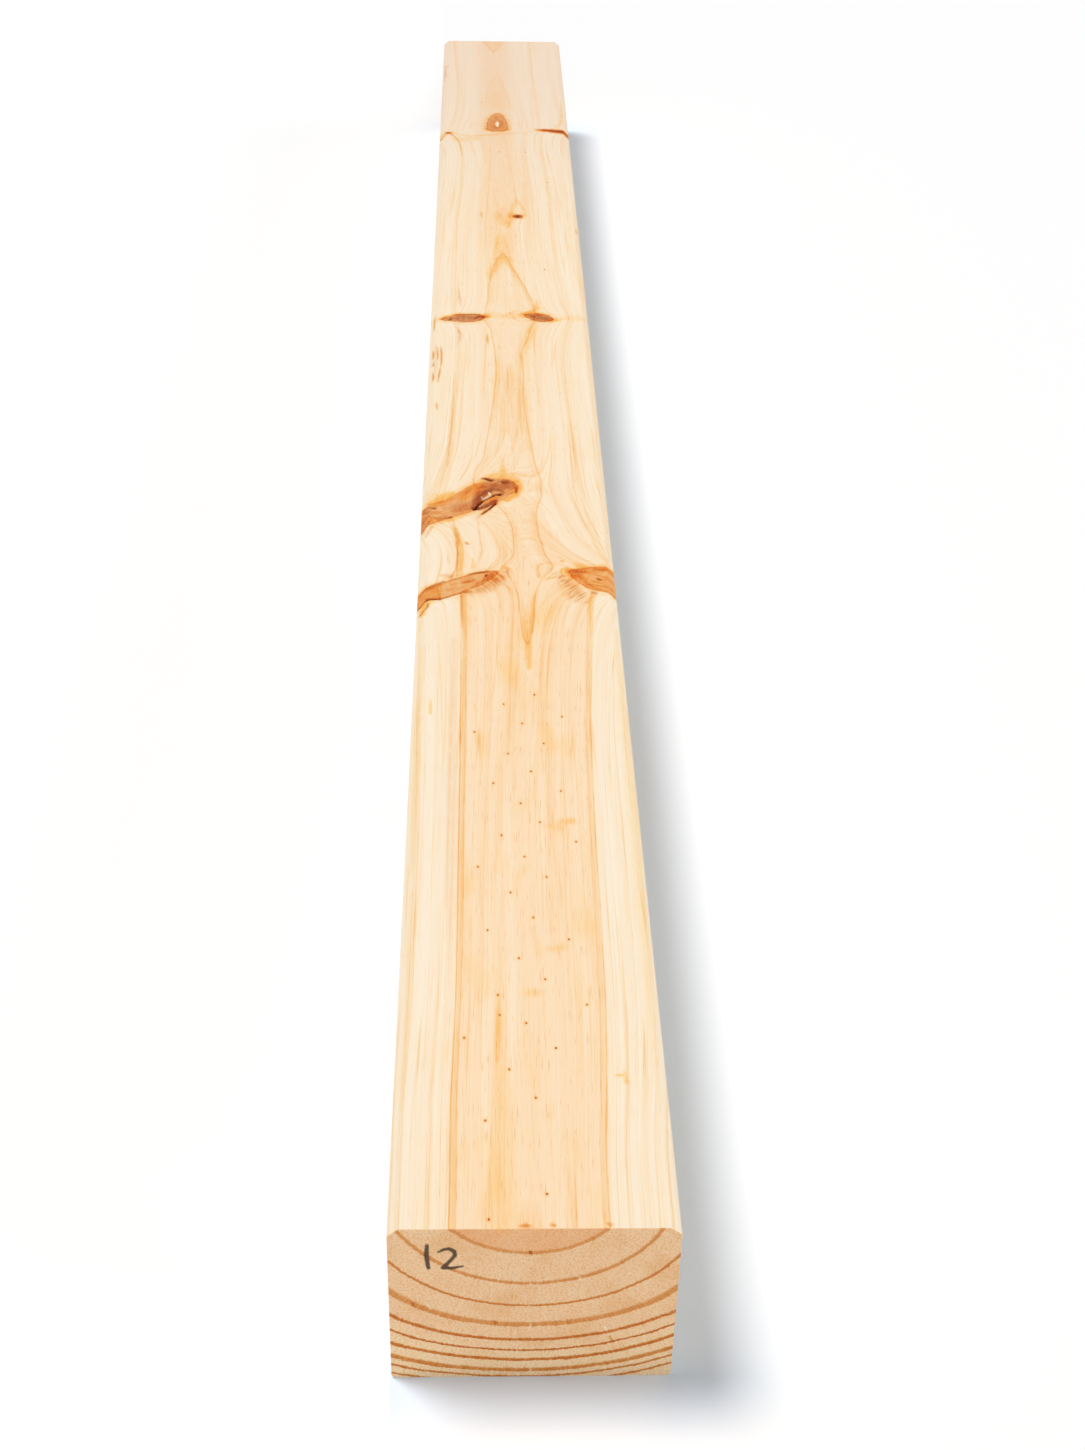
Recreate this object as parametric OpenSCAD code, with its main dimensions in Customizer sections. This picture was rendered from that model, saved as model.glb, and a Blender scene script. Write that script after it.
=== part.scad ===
// Sawn and planed softwood plank, cut from near the heart of a knotty log.
// The plank lies flat, with its length along Y and its marked end at -Y.
// The origin is under the middle of the plank, on the face that it lies on.

/* [Stock] */
// Width across the wide face
board_w = 90; // [80:1:140]
// Thickness between the top and bottom faces
board_t = 70; // [40:1:100]
// Length along the grain
board_l = 1200; // [1100:10:3000]

/* [Edges] */
// Width that each planed chamfer takes off the top face
chamfer_w = 3.6; // [1:0.1:8]
// Height that each planed chamfer takes off the side face
chamfer_drop = 2.9; // [1:0.1:8]
// Radius of the eased edges along the bottom face
eased_r = 1.5; // [0.5:0.1:6]

/* [Loose knot] */
// Offset of the torn hollow from the centreline of the top face
loose_x = -14; // [-22:0.5:22]
// Distance of the torn hollow from the marked end
loose_y = 455; // [100:1:600]
// Direction of the branch across the top face, in degrees from the width
loose_heading = 55; // [0:1:90]
// Length of the torn hollow along the branch
loose_length = 21; // [10:0.5:30]
// Width of the torn hollow across the branch
loose_width = 7; // [6.5:0.1:12]
// Depth of the torn hollow below the top face
loose_depth = 3.2; // [1:0.1:3.2]

/* [Bark seams] */
// Width of an open bark seam where it meets the top face
seam_width = 1; // [0.5:0.1:3]
// Depth of an open bark seam
seam_depth = 1.8; // [0.5:0.1:5]
// Gap between the torn hollow's rim and the bark seam beside it
loose_seam_gap = 1.5; // [0.5:0.1:5]
// Distance that the same seam lies nearer to the marked end, along the branch
loose_seam_shift = 5; // [0:0.5:10]
// Length of the bark seam beside the torn hollow
loose_seam_length = 15; // [6:0.5:24]
// Distance of the spike knot's seam in from the left side face
spike_seam_in = 13; // [13:0.5:30]
// Distance of the spike knot's seam from the marked end
spike_seam_y = 366; // [100:1:600]
// Direction of the spike knot across the top face, in degrees from the width
spike_heading = 24; // [0:1:60]
// Length of the bark seam under the spike knot
spike_seam_length = 22; // [6:0.5:22]

/* [Pith hollow] */
// Offset of the hollow pith of the far knot from the centreline
pith_x = -5; // [-30:0.5:30]
// Distance of the hollow pith from the plain end
pith_in = 194; // [60:1:400]
// Length of the hollow pith along the grain
pith_length = 13; // [4:0.5:30]
// Width of the hollow pith across the grain
pith_width = 3; // [2.8:0.1:8]
// Depth of the hollow pith below the top face
pith_depth = 1.4; // [0.4:0.1:1.4]

/* [Hidden] */
$fn = 96;

wood = [0.93, 0.80, 0.62];
half_w = board_w / 2;
marked_end = -board_l / 2;
plain_end = board_l / 2;
// How far the section's corner cutters reach past the section
over = 1;
// Offset across the branch that sets the bark seam beside the torn hollow
loose_seam_offset = loose_width / 2 + loose_seam_gap + seam_width / 2;

// Radius of the arc that dips by depth below a chord of the given length
function arc_radius(chord, depth) = (chord * chord / 4 + depth * depth) / (2 * depth);

// Waste outside a round of radius r in the corner at the origin, which points to -X and -Y
module corner_waste(r) {
    difference() {
        translate([-over, -over]) square(r + over);
        translate([r, r]) circle(r);
    }
}

// Cross-section with planed top corners and eased bottom corners
module section() {
    difference() {
        polygon([
            [-half_w, 0], [half_w, 0],
            [half_w, board_t - chamfer_drop], [half_w - chamfer_w, board_t],
            [-half_w + chamfer_w, board_t], [-half_w, board_t - chamfer_drop],
        ]);
        translate([-half_w, 0]) corner_waste(eased_r);
        translate([half_w, 0]) mirror([1, 0]) corner_waste(eased_r);
    }
}

// Length of stock between two square saw cuts, along Y
module blank() {
    translate([0, plain_end, 0]) rotate([90, 0, 0]) linear_extrude(board_l) section();
}

// Sets a cutter at a place on the top face and turns its length to a heading
module on_top(x, y, heading) {
    translate([x, y, board_t]) rotate([0, 0, heading]) children();
}

// Boat-shaped hollow along X, sunk into the plane z = 0 from a turned spindle
module hollow(length, width, depth) {
    belly_r = arc_radius(width, depth);
    keel_r = arc_radius(length, depth);
    inset = keel_r - belly_r;
    tip = sqrt(keel_r * keel_r - inset * inset);
    translate([0, 0, belly_r - depth]) rotate([0, 90, 0]) rotate_extrude() intersection() {
        translate([-inset, 0]) circle(keel_r, $fn = 360);
        translate([0, -tip]) square([belly_r, 2 * tip]);
    }
}

// Narrow crack along X with a V section and pointed ends, from the rim of a turned disc
module seam(length, width, depth) {
    rim_r = arc_radius(length, depth);
    rim = 2 * depth;
    translate([0, 0, rim_r - depth]) rotate([90, 0, 0]) rotate_extrude()
        polygon([[rim_r, 0], [rim_r - rim, width], [rim_r - rim, -width]]);
}

// Torn hollow of the loose knot and the bark seam that runs beside it
module loose_knot_cut() {
    on_top(loose_x, marked_end + loose_y, loose_heading) {
        hollow(loose_length, loose_width, loose_depth);
        translate([-loose_seam_shift, -loose_seam_offset, 0]) seam(loose_seam_length, seam_width, seam_depth);
    }
}

// Bark seam that opens under the spike knot
module spike_knot_cut() {
    on_top(-half_w + spike_seam_in, marked_end + spike_seam_y, spike_heading)
        seam(spike_seam_length, seam_width, seam_depth);
}

// Hollow pith in the middle of the far knot
module pith_cut() {
    on_top(pith_x, plain_end - pith_in, 90) hollow(pith_length, pith_width, pith_depth);
}

module plank() {
    color(wood) difference() {
        blank();
        loose_knot_cut();
        spike_knot_cut();
        pith_cut();
    }
}

plank();
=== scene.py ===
"""Dressed pine plank with spike knots, a torn loose knot and sawn ends, lying on a white ground."""

import logging
import math
from dataclasses import dataclass
from enum import Enum

import bpy
import numpy as np
from mathutils import Matrix, Vector, noise


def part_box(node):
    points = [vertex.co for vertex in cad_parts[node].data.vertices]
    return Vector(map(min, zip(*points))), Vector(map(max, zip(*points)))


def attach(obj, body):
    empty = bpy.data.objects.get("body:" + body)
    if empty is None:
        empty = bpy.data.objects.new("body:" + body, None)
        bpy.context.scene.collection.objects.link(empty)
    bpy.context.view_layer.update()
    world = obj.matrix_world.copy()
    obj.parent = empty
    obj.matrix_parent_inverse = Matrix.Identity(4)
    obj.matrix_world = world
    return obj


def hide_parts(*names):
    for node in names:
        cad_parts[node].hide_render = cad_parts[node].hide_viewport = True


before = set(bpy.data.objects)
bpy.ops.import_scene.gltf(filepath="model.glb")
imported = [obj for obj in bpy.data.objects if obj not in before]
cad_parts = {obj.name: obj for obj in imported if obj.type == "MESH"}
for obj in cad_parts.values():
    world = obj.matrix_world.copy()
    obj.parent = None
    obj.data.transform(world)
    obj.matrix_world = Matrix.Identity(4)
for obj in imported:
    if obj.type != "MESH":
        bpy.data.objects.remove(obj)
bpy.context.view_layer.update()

LOG = logging.getLogger("plank")
MM = 0.001
PHOTO_WIDTH = 1085
PHOTO_HEIGHT = 1450

Number = float | np.ndarray
Pair = tuple[float, float]
Triple = tuple[float, float, float]
Colour = tuple[float, float, float, float]


class Face(Enum):
    """The sawn or planed faces that marks are drawn on."""

    TOP = "top"
    MARKED_END = "marked_end"


class Mark(Enum):
    """What a stroke on the wood is made of, which is also the name of its mesh attribute."""

    RESIN = "resin"
    BLUSH = "blush"
    EMBER = "ember"
    CHAR = "char"
    HATCH = "hatch"
    PALE = "pale"
    BARK = "bark"
    PENCIL = "pencil"


SOFT = (Mark.RESIN, Mark.BLUSH, Mark.EMBER, Mark.CHAR, Mark.HATCH)
CRISP = (Mark.PALE, Mark.BARK, Mark.PENCIL)


def smooth(low: float, high: float, value: Number) -> Number:
    """Eases from 0 at low to 1 at high.

    Args:
        low: The value where the step starts.
        high: The value where the step ends.
        value: The value or values to ease.

    Returns:
        The eased value or values, from 0 to 1.
    """
    share = np.clip((value - low) / (high - low), 0.0, 1.0)
    return share * share * (3.0 - 2.0 * share)


def linear(red: int, green: int, blue: int) -> Colour:
    """Turns a colour as seen on a screen into the shader's linear one.

    Args:
        red: Red, from 0 to 255.
        green: Green, from 0 to 255.
        blue: Blue, from 0 to 255.

    Returns:
        The linear colour with an alpha of 1.
    """
    seen = [channel / 255.0 for channel in (red, green, blue)]
    made = [c / 12.92 if c <= 0.04045 else ((c + 0.055) / 1.055) ** 2.4 for c in seen]
    return (made[0], made[1], made[2], 1.0)


def fibre_noise(points: np.ndarray, scale: Triple, seed: float) -> np.ndarray:
    """Samples smooth noise stretched along the grain.

    Args:
        points: Points in millimetres, one in each row.
        scale: Size of the noise's features along x, y and z, in millimetres.
        seed: Offset that gives each use its own pattern.

    Returns:
        One value from about -1 to 1 for each point.
    """
    places = points / np.array(scale) + seed
    return np.array([noise.noise(Vector(place)) for place in places])


class Track:
    """A value that changes along the plank, eased through a few stops without overshoot."""

    def __init__(self, *stops: Pair) -> None:
        """Takes the stops.

        Args:
            stops: Pairs of distance from the marked end and value, in millimetres.
        """
        self.at = np.array([stop[0] for stop in stops], float)
        self.value = np.array([stop[1] for stop in stops], float)
        step = np.diff(self.value) / np.diff(self.at)
        before, after = step[:-1], step[1:]
        rising = before * after > 0
        total = np.where(rising, before + after, 1.0)
        inner = np.where(rising, 2.0 * before * after / total, 0.0)
        self.slope = np.concatenate([step[:1], inner, step[-1:]])

    def __call__(self, along: np.ndarray) -> np.ndarray:
        """Gives the value at each distance along the plank.

        Args:
            along: Distances from the marked end, in millimetres.

        Returns:
            The value at each distance.
        """
        spot = np.clip(along, self.at[0], self.at[-1])
        index = np.clip(np.searchsorted(self.at, spot) - 1, 0, len(self.at) - 2)
        width = self.at[index + 1] - self.at[index]
        t = (spot - self.at[index]) / width
        start = (1 + 2 * t) * (1 - t) ** 2 * self.value[index]
        end = t * t * (3 - 2 * t) * self.value[index + 1]
        lean_in = t * (1 - t) ** 2 * width * self.slope[index]
        lean_out = t * t * (t - 1) * width * self.slope[index + 1]
        return start + end + lean_in + lean_out


def chain_distance(
    u: np.ndarray, v: np.ndarray, spine: tuple[Triple, ...]
) -> tuple[np.ndarray, np.ndarray, np.ndarray, np.ndarray]:
    """Measures how far points lie from a chain of tapered strokes.

    Args:
        u: First coordinate of each point, in millimetres.
        v: Second coordinate of each point, in millimetres.
        spine: The chain's points, each with its half width.

    Returns:
        The signed distance to the outline, the distance along the chain, the share across it and
        the chain's half width there.
    """
    best = np.full(u.shape, 1e9)
    along, across, wide = (np.zeros(u.shape) for _ in range(3))
    travelled = 0.0
    for (au, av, ar), (bu, bv, br) in zip(spine, spine[1:]):
        du, dv = bu - au, bv - av
        length = math.hypot(du, dv)
        share = np.clip(((u - au) * du + (v - av) * dv) / length**2, 0.0, 1.0)
        half = ar + share * (br - ar)
        gap = np.hypot(u - (au + share * du), v - (av + share * dv)) - half
        side = ((u - au) * dv - (v - av) * du) / length
        nearer = gap < best
        best = np.where(nearer, gap, best)
        along = np.where(nearer, travelled + share * length, along)
        across = np.where(nearer, side / np.maximum(half, 0.8), across)
        wide = np.where(nearer, half, wide)
        travelled += length
    return best, along, across, wide


@dataclass(frozen=True)
class Stroke:
    """A mark on the wood: a seam, a stain, a torn fibre or a pencil line. It ends at x = until."""

    mark: Mark
    spine: tuple[Triple, ...]
    strength: float = 1.0
    depth: float = 0.0
    face: Face = Face.TOP
    until: float = 99.0

    @property
    def widest(self) -> float:
        """The largest half width."""
        return max(point[2] for point in self.spine)

    def measure(self, points: np.ndarray) -> tuple[np.ndarray, np.ndarray]:
        """Measures points against the stroke's outline.

        Args:
            points: Points in the wood's own millimetres.

        Returns:
            Millimetres outside the outline, negative inside, large off the stroke's face, and the
            stroke's half width beside each point.
        """
        x, y, z = points.T
        if self.face is Face.TOP:
            gap, _, _, half = chain_distance(x, y, self.spine)
            return gap + 4.0 * smooth(3.0, 4.5, -z), half
        gap, _, _, half = chain_distance(x, z, self.spine)
        return gap + 40.0 * smooth(0.5, 1.0, y), half

    def gap(self, points: np.ndarray) -> np.ndarray:
        """Measures the signed distance to the stroke's outline, in millimetres."""
        return self.measure(points)[0]


def strokes(rows_by_mark: dict[Mark, tuple[tuple, ...]], face: Face = Face.TOP) -> tuple[Stroke, ...]:
    """Makes the strokes of one place on the wood.

    Args:
        rows_by_mark: A row for each stroke: its strength, its depth if the mark is a crisp one, and the
            points of its spine. A point is the place on the face and the half width, in millimetres.
        face: The face that the strokes are on.

    Returns:
        The strokes.
    """
    made = []
    for mark, rows in rows_by_mark.items():
        for strength, *rest in rows:
            depth = rest.pop(0) if mark in CRISP else 0.0
            made.append(Stroke(mark, tuple(rest), strength, depth, face))
    return tuple(made)


# The torn loose knot: hollow, bark seams, torn pale fibres and resin round it
LOOSE_KNOT = strokes({
    Mark.BARK: (
        (0.8, 2.6, (-19.4, 447.2, 0.8), (-18.3, 450.2, 0.6), (-15.5, 455.6, 0.45), (-12.6, 458.6, 0.4),
         (-10.4, 461, 0.7)),
        (0.95, 1.8, (-9.6, 462.2, 0.6), (-7.2, 462.2, 1)),
        (0.6, 1.8, (-16, 442.4, 0.2), (-12.6, 447.4, 0.4), (-9.2, 452.8, 0.3)),
        (0.75, 0.5, (-14, 478.2, 0.8), (-11.6, 476.3, 0.9)),
        (0.3, 0.3, (-5.4, 475, 0.7), (-4.9, 473.8, 0.8)),
        (0.6, 0.3, (-39.6, 447.8, 0.4), (-38.6, 447.4, 0.5)),
        (0.5, 0.3, (-31.4, 438.4, 0.2), (-30.4, 439.4, 0.5)),
        (0.45, 0.2, (1.1, 467.8, 0.3), (0.7, 463.6, 0.4)),
    ),
    Mark.CHAR: (
        (0.72, (-19.6, 448, 1.4), (-18, 456, 1.8), (-15.4, 463, 2), (-10, 467.6, 1.6), (-6.6, 465.6, 1),
         (-6.2, 461.6, 0.6)),
        (0.6, (-15.4, 478.2, 0.7), (-11.4, 476.6, 1.2)),
        (0.7, (-7.4, 475.4, 0.8), (-4.8, 474.4, 1.8), (-2.4, 473.6, 0.8)),
        (0.3, (-1, 475, 0.3), (0.8, 470, 0.5), (1.2, 464, 0.3)),
        (0.85, (-17.6, 447.8, 1.3), (-12, 451.6, 1.3), (-9.4, 455.4, 0.8)),
        (0.4, (-44.6, 447, 0.5), (-42, 443.6, 0.4), (-40.6, 446, 0.2)),
        (0.4, (-45, 436, 0.4), (-41.6, 440.4, 0.3), (-40, 442, 0.2)),
        (0.4, (-45, 427, 0.3), (-42, 431.4, 0.35), (-40.6, 435, 0.2)),
        (0.36, (-14, 470, 2), (-7, 470.5, 3.2), (-2, 470, 2)),
        (0.16, (-32, 447, 1.5), (-27, 449, 3.5), (-21.6, 452, 2.5)),
        (0.35, (-37, 437, 0.4), (-31, 438.8, 0.8)),
        (0.2, (-42, 440, 0.3), (-38, 438, 0.6), (-33, 440, 0.4)),
        (0.4, (-43.4, 448.8, 0.7), (-41, 448, 0.5), (-38.6, 447.8, 0.7)),
    ),
    Mark.EMBER: (
        (0.15, (-44.6, 449, 0.8), (-43.8, 441, 1.2), (-44.6, 428, 0.8)),
        (0.2, (-19, 460, 1.5), (-16, 469, 1.8), (-12, 473, 2), (-4, 470, 2.5), (-4, 463, 1.6)),
        (0.3, (-2, 475, 1.5), (0.6, 469, 1.2)),
        (0.2, (-42, 446, 1), (-36, 443, 1.8), (-30, 441, 1)),
        (0.6, (-16.2, 442, 0.4), (-12.8, 447, 0.8), (-9, 453, 0.6)),
    ),
    Mark.RESIN: (
        (1, (-14.8, 453.4, 1), (-11, 457.8, 1.8), (-8, 460.6, 1.2)),
        (0.8, (-39, 452, 2.5), (-35, 457, 3.5), (-31, 462, 2)),
        (0.7, (-25, 458, 2), (-22.5, 464, 3), (-18, 470, 2.5)),
        (0.7, (-17, 475, 1), (-13, 480, 1.5), (-6, 481.6, 2.6), (-2, 479.6, 2.6)),
        (0.75, (1.4, 476, 1.4), (2, 468, 1.5), (0, 461, 1.4), (-4, 456, 1.2)),
        (0.6, (-5.6, 484, 1.6), (-5.4, 490, 0.8), (-5.2, 503, 0.1)),
        (0.8, (-0.8, 483.4, 0.7), (-0.4, 482, 0.6)),
        (0.5, (-40, 436, 2.5), (-30, 437, 1.5), (-24, 441.5, 1)),
    ),
    Mark.PALE: (
        (0.95, 0, (-12.6, 463.6, 0.4), (-11.6, 460.8, 0.6), (-14.8, 457.2, 0.5)),
        (0.95, 0, (-17.7, 451.6, 0.5), (-17, 450.2, 0.6)),
        (0.6, 0, (-16.2, 459.4, 0.3), (-15.2, 456.8, 0.4)),
        (0.5, 0, (-11.6, 450.8, 0.2), (-13.8, 447, 0.3)),
    ),
    Mark.BLUSH: (
        (0.5, (-28, 444, 2), (-24, 448, 3), (-21, 446, 1.5)),
        (0.4, (-44, 446, 1.6), (-43.5, 433, 1.6), (-44, 424, 0.8)),
        (0.6, (-42.4, 421, 0.4), (-39.4, 430, 0.5)),
        (0.4, (-18.5, 438, 0.5), (-16, 442, 1), (-14, 444, 0.8)),
    ),
})

# The left spike knot
LEFT_SPIKE = strokes({
    Mark.BARK: (
        (0.7, 1.8, (-45, 358.6, 0.3), (-42.4, 361.2, 0.3), (-40.2, 363.7, 0.25), (-35, 364.2, 0.35),
         (-30, 366.9, 0.15), (-25, 369.9, 0.1), (-22.6, 371, 0.25)),
        (0.6, 0.3, (-21.4, 386.2, 0.15), (-18, 387.5, 0.3), (-14.6, 388.4, 0.3)),
        (0.9, 0.5, (-14.2, 384.4, 0.4), (-13.7, 385.7, 0.4)),
        (0.4, 0.5, (-43.4, 352.6, 0.3), (-40.2, 357.4, 0.25), (-39.9, 360.6, 0.2)),
    ),
    Mark.CHAR: (
        (0.4, (-44, 369.6, 0.2), (-38, 376, 0.3), (-33.4, 379.4, 0.4)),
        (0.45, (-22, 386, 0.2), (-18, 387.5, 0.4), (-13.6, 388.6, 0.4)),
        (0.3, (-41, 364, 0.4), (-34.6, 364.8, 0.5)),
    ),
    Mark.EMBER: (
        (0.7, (-25, 378.2, 0.4), (-22, 379.8, 0.8), (-20, 381, 0.5)),
        (0.6, (-9.6, 388, 0.9), (-11.4, 385.4, 1.2), (-15.4, 380, 0.7), (-21, 374, 0.3)),
        (0.35, (-12, 388.4, 0.6), (-20, 386, 0.4), (-30, 380.4, 0.3)),
        (0.25, (-44, 368.6, 0.8), (-40, 372.6, 1), (-35, 376.6, 0.7)),
        (0.4, (-30, 383, 0.4), (-27.8, 390, 0.25), (-27, 405, 0.25), (-27.4, 418, 0.6), (-28.6, 427, 0.5),
         (-29.8, 433, 0.1)),
        (0.6, (-23.4, 415, 0.4), (-22.6, 413.6, 0.5)),
        (0.3, (-25, 368, 0.3), (-24.8, 360, 0.3), (-24.4, 340, 0.1)),
    ),
    Mark.RESIN: (
        (0.6, (-5.5, 392.5, 1), (-3.5, 390.5, 1)),
        (0.4, (-27.6, 385, 0.6), (-26, 392, 1.1), (-25.8, 405, 1.3), (-26.4, 418, 1), (-28, 429, 0.3)),
        (0.5, (-20.4, 400, 0.4), (-20, 392, 0.8)),
        (0.25, (-24.8, 368, 0.6), (-24.2, 358, 0.8), (-23.8, 335, 0.2)),
        (0.9, (-42.5, 352, 1), (-41.4, 359, 1.4), (-39.6, 361, 0.6)),
    ),
    Mark.PALE: (
        (0.75, 0, (-37, 362.6, 0.4), (-31, 365.2, 0.8), (-26, 368.2, 0.5)),
    ),
    Mark.BLUSH: (
        (0.5, (-34, 384.6, 1), (-30.5, 384, 1.5)),
        (0.45, (-17.8, 440, 0.1), (-17.4, 428, 0.2), (-15.9, 408, 0.35), (-17.6, 394, 0.1)),
        (0.3, (-32, 412, 0.1), (-31, 395, 0.3)),
        (0.6, (-16.4, 371, 0.5), (-14, 375, 1.3)),
        (0.4, (-21, 370, 1), (-13, 374, 2.4), (-8, 380, 2.2), (-6, 385, 1)),
    ),
    Mark.HATCH: (
        (1, (-24, 368, 1.5), (-16, 373, 3), (-9, 381, 3), (-5, 388, 2)),
    ),
})

# The right spike knot
RIGHT_SPIKE = strokes({
    Mark.BARK: (
        (1, 0.6, (36.6, 382.9, 0.2), (37.6, 382.2, 0.45), (38.5, 381.6, 0.25)),
    ),
    Mark.CHAR: (
        (0.3, (26.4, 388.3, 0.5), (28.6, 388.5, 0.8), (30.5, 388, 0.3)),
        (0.35, (34, 370.6, 0.4), (35.4, 369.6, 0.6)),
    ),
    Mark.EMBER: (
        (0.5, (25.2, 388.4, 1.4), (27.6, 385.8, 1.6), (30.4, 381.4, 0.9), (34, 377, 0.3)),
        (0.65, (25.6, 389.6, 1), (29, 389.2, 1.2), (33, 387.6, 0.4)),
        (0.4, (30, 380, 0.2), (35, 374.6, 0.4), (39, 372, 0.4), (44, 370.6, 0.5)),
        (0.3, (30, 388, 0.2), (37, 385.6, 0.35), (44, 381, 0.35)),
        (0.2, (31, 382.6, 0.1), (37, 378.6, 0.3), (44, 375, 0.35)),
    ),
    Mark.RESIN: (
        (0.85, (23, 391, 1.1), (23.4, 387.6, 1.2), (26, 383, 0.8)),
        (0.5, (26.6, 396.6, 0.5), (29, 394.2, 1.4), (32, 391.6, 1.4)),
        (1, (39.5, 391.8, 1), (44, 391, 1.4)),
        (0.8, (21.4, 391.8, 0.2), (20.3, 390, 0.4), (20.7, 386.4, 0.4), (22.6, 383.6, 0.1)),
        (0.8, (20.8, 398.6, 0.4), (21.6, 397.8, 0.5)),
        (0.6, (34, 369, 0.5), (32.7, 362, 0.5), (31.9, 345, 0.3), (31.6, 330, 0.1)),
    ),
    Mark.PALE: (
        (0.45, 0, (36.4, 368.2, 0.6), (39.6, 365.6, 1), (43, 361, 1)),
        (0.4, 0, (28.6, 377.4, 0.5), (31.6, 371.2, 0.8)),
        (0.5, 0, (42.6, 369, 0.6), (43.2, 367, 0.6)),
    ),
    Mark.HATCH: (
        (1, (18, 387, 1), (22, 380, 3), (26, 371, 4), (29, 363, 2)),
    ),
    Mark.BLUSH: (
        (0.35, (20, 383, 0.8), (25, 376, 1.5), (28.4, 368, 1.2)),
        (0.6, (34, 392, 0.8), (39, 390, 1.5)),
    ),
})

# The bare tip of the innermost ring and the resin that runs from it
CORE_TIP = strokes({
    Mark.RESIN: (
        (0.6, (8.2, 372, 0.1), (7.4, 363, 0.5), (6.8, 350, 0.5), (5.6, 336, 0.5)),
        (0.6, (2.4, 350, 0.3), (3.4, 336, 0.7), (4.2, 328, 1.3), (4.2, 308, 0.7)),
        (0.3, (3.4, 345, 1.2), (4.2, 330, 1.6)),
    ),
})

# The pair of eye knots
EYE_KNOTS = strokes({
    Mark.BARK: (
        (0.5, 0.3, (-34.4, 667.4, 0.3), (-33.4, 671.2, 0.45)),
        (0.6, 0.4, (-20, 670.6, 0.3), (-17.4, 674.2, 0.5)),
        (0.5, 0.4, (11.8, 675.6, 0.4), (14.4, 674, 0.5)),
        (0.7, 0.5, (-15.6, 672.9, 0.4), (-15, 672.5, 0.4)),
    ),
    Mark.CHAR: (
        (0.4, (-38, 669.4, 0.4), (-33.6, 669.6, 1), (-30, 670, 0.6)),
        (0.35, (-32, 675.6, 0.3), (-26, 676.4, 0.5), (-17, 676.6, 0.5)),
        (0.35, (-20, 670, 0.6), (-17.4, 673, 0.9)),
        (0.35, (10.6, 676, 0.5), (14, 674.6, 1), (20, 672.6, 0.8)),
        (0.36, (-37, 669.4, 1), (-27, 671, 3.5), (-19, 671.8, 3)),
        (0.45, (11, 675.6, 1.2), (16, 673.2, 3.2), (21, 671.2, 2.6)),
    ),
    Mark.EMBER: (
        (0.45, (-16.4, 673, 0.8), (-14, 673.4, 1.2)),
        (0.25, (-29.6, 656, 0.1), (-28.4, 651, 0.3), (-27.8, 646, 0.1)),
        (0.3, (-13, 650, 0.1), (-12.7, 643, 0.35), (-12.4, 636, 0.1)),
        (0.3, (-33.2, 490, 0.1), (-32.8, 503, 0.3), (-31.8, 530, 0.3), (-31.2, 560, 0.2),
         (-30.4, 600, 0.1)),
    ),
    Mark.RESIN: (
        (1, (-16, 673, 1), (-12.4, 673.6, 1.4)),
        (0.8, (-15, 675, 1.5), (-12, 677, 0.8), (-9, 679, 0.3)),
        (0.75, (7.6, 677, 1.6), (14, 681, 1.5), (16, 686, 1.2), (15.9, 700, 0.1)),
        (0.8, (12, 680, 1.5), (17, 677, 1.5)),
        (0.9, (24.6, 669, 2), (29, 670, 0.8)),
        (0.6, (-40, 669.4, 0.8), (-36, 672.6, 1.2), (-28, 677.6, 0.8)),
        (0.8, (0, 678.6, 0.7), (0.6, 677.6, 0.5)),
        (0.25, (-12, 674, 2), (0, 674, 3), (9, 675, 2)),
        (0.2, (26, 672, 1.5), (40, 672, 3)),
        (0.3, (-13, 652, 0.1), (-12.6, 642, 0.7), (-12.4, 632, 0.1)),
        (0.45, (5.2, 628, 0.1), (5.8, 619, 0.5), (6.2, 610, 0.1)),
        (0.42, (14.4, 665, 1), (12, 655, 1.8), (10, 642, 1.4), (8.6, 624, 0.8)),
        (0.18, (-9.6, 552, 0.2), (-9.2, 570, 0.8), (-8.2, 588, 1.4), (-7, 604, 1), (-8.4, 628, 0.3)),
        (0.18, (5.2, 506, 0.2), (4, 560, 0.4), (4.6, 600, 0.4), (6, 618, 0.2)),
        (0.14, (10.4, 500, 0.4), (8.6, 530, 1), (8.2, 570, 1.2), (9, 610, 1.2), (10, 635, 0.8)),
    ),
    Mark.BLUSH: (
        (0.4, (-32, 664, 0.3), (-29, 655, 0.5), (-28, 648, 0.9), (-30, 630, 0.1)),
        (0.6, (-29.6, 714, 0.1), (-28.8, 700, 0.4), (-27.8, 686, 0.1)),
    ),
})

# Resin at the top of the arch of the innermost ring
ARCH_TOP = strokes({
    Mark.RESIN: (
        (0.42, (-11.4, 724, 0.4), (-10.4, 735, 1.7), (-8.4, 746, 2.4), (-5, 757, 2.4)),
        (0.32, (11, 708, 0.2), (6.4, 728, 0.7), (2.6, 744, 1.2), (-1, 755, 1.5)),
        (0.5, (-7, 759, 2), (-2, 762, 2.5), (1.5, 756, 1.5)),
    ),
})

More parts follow.
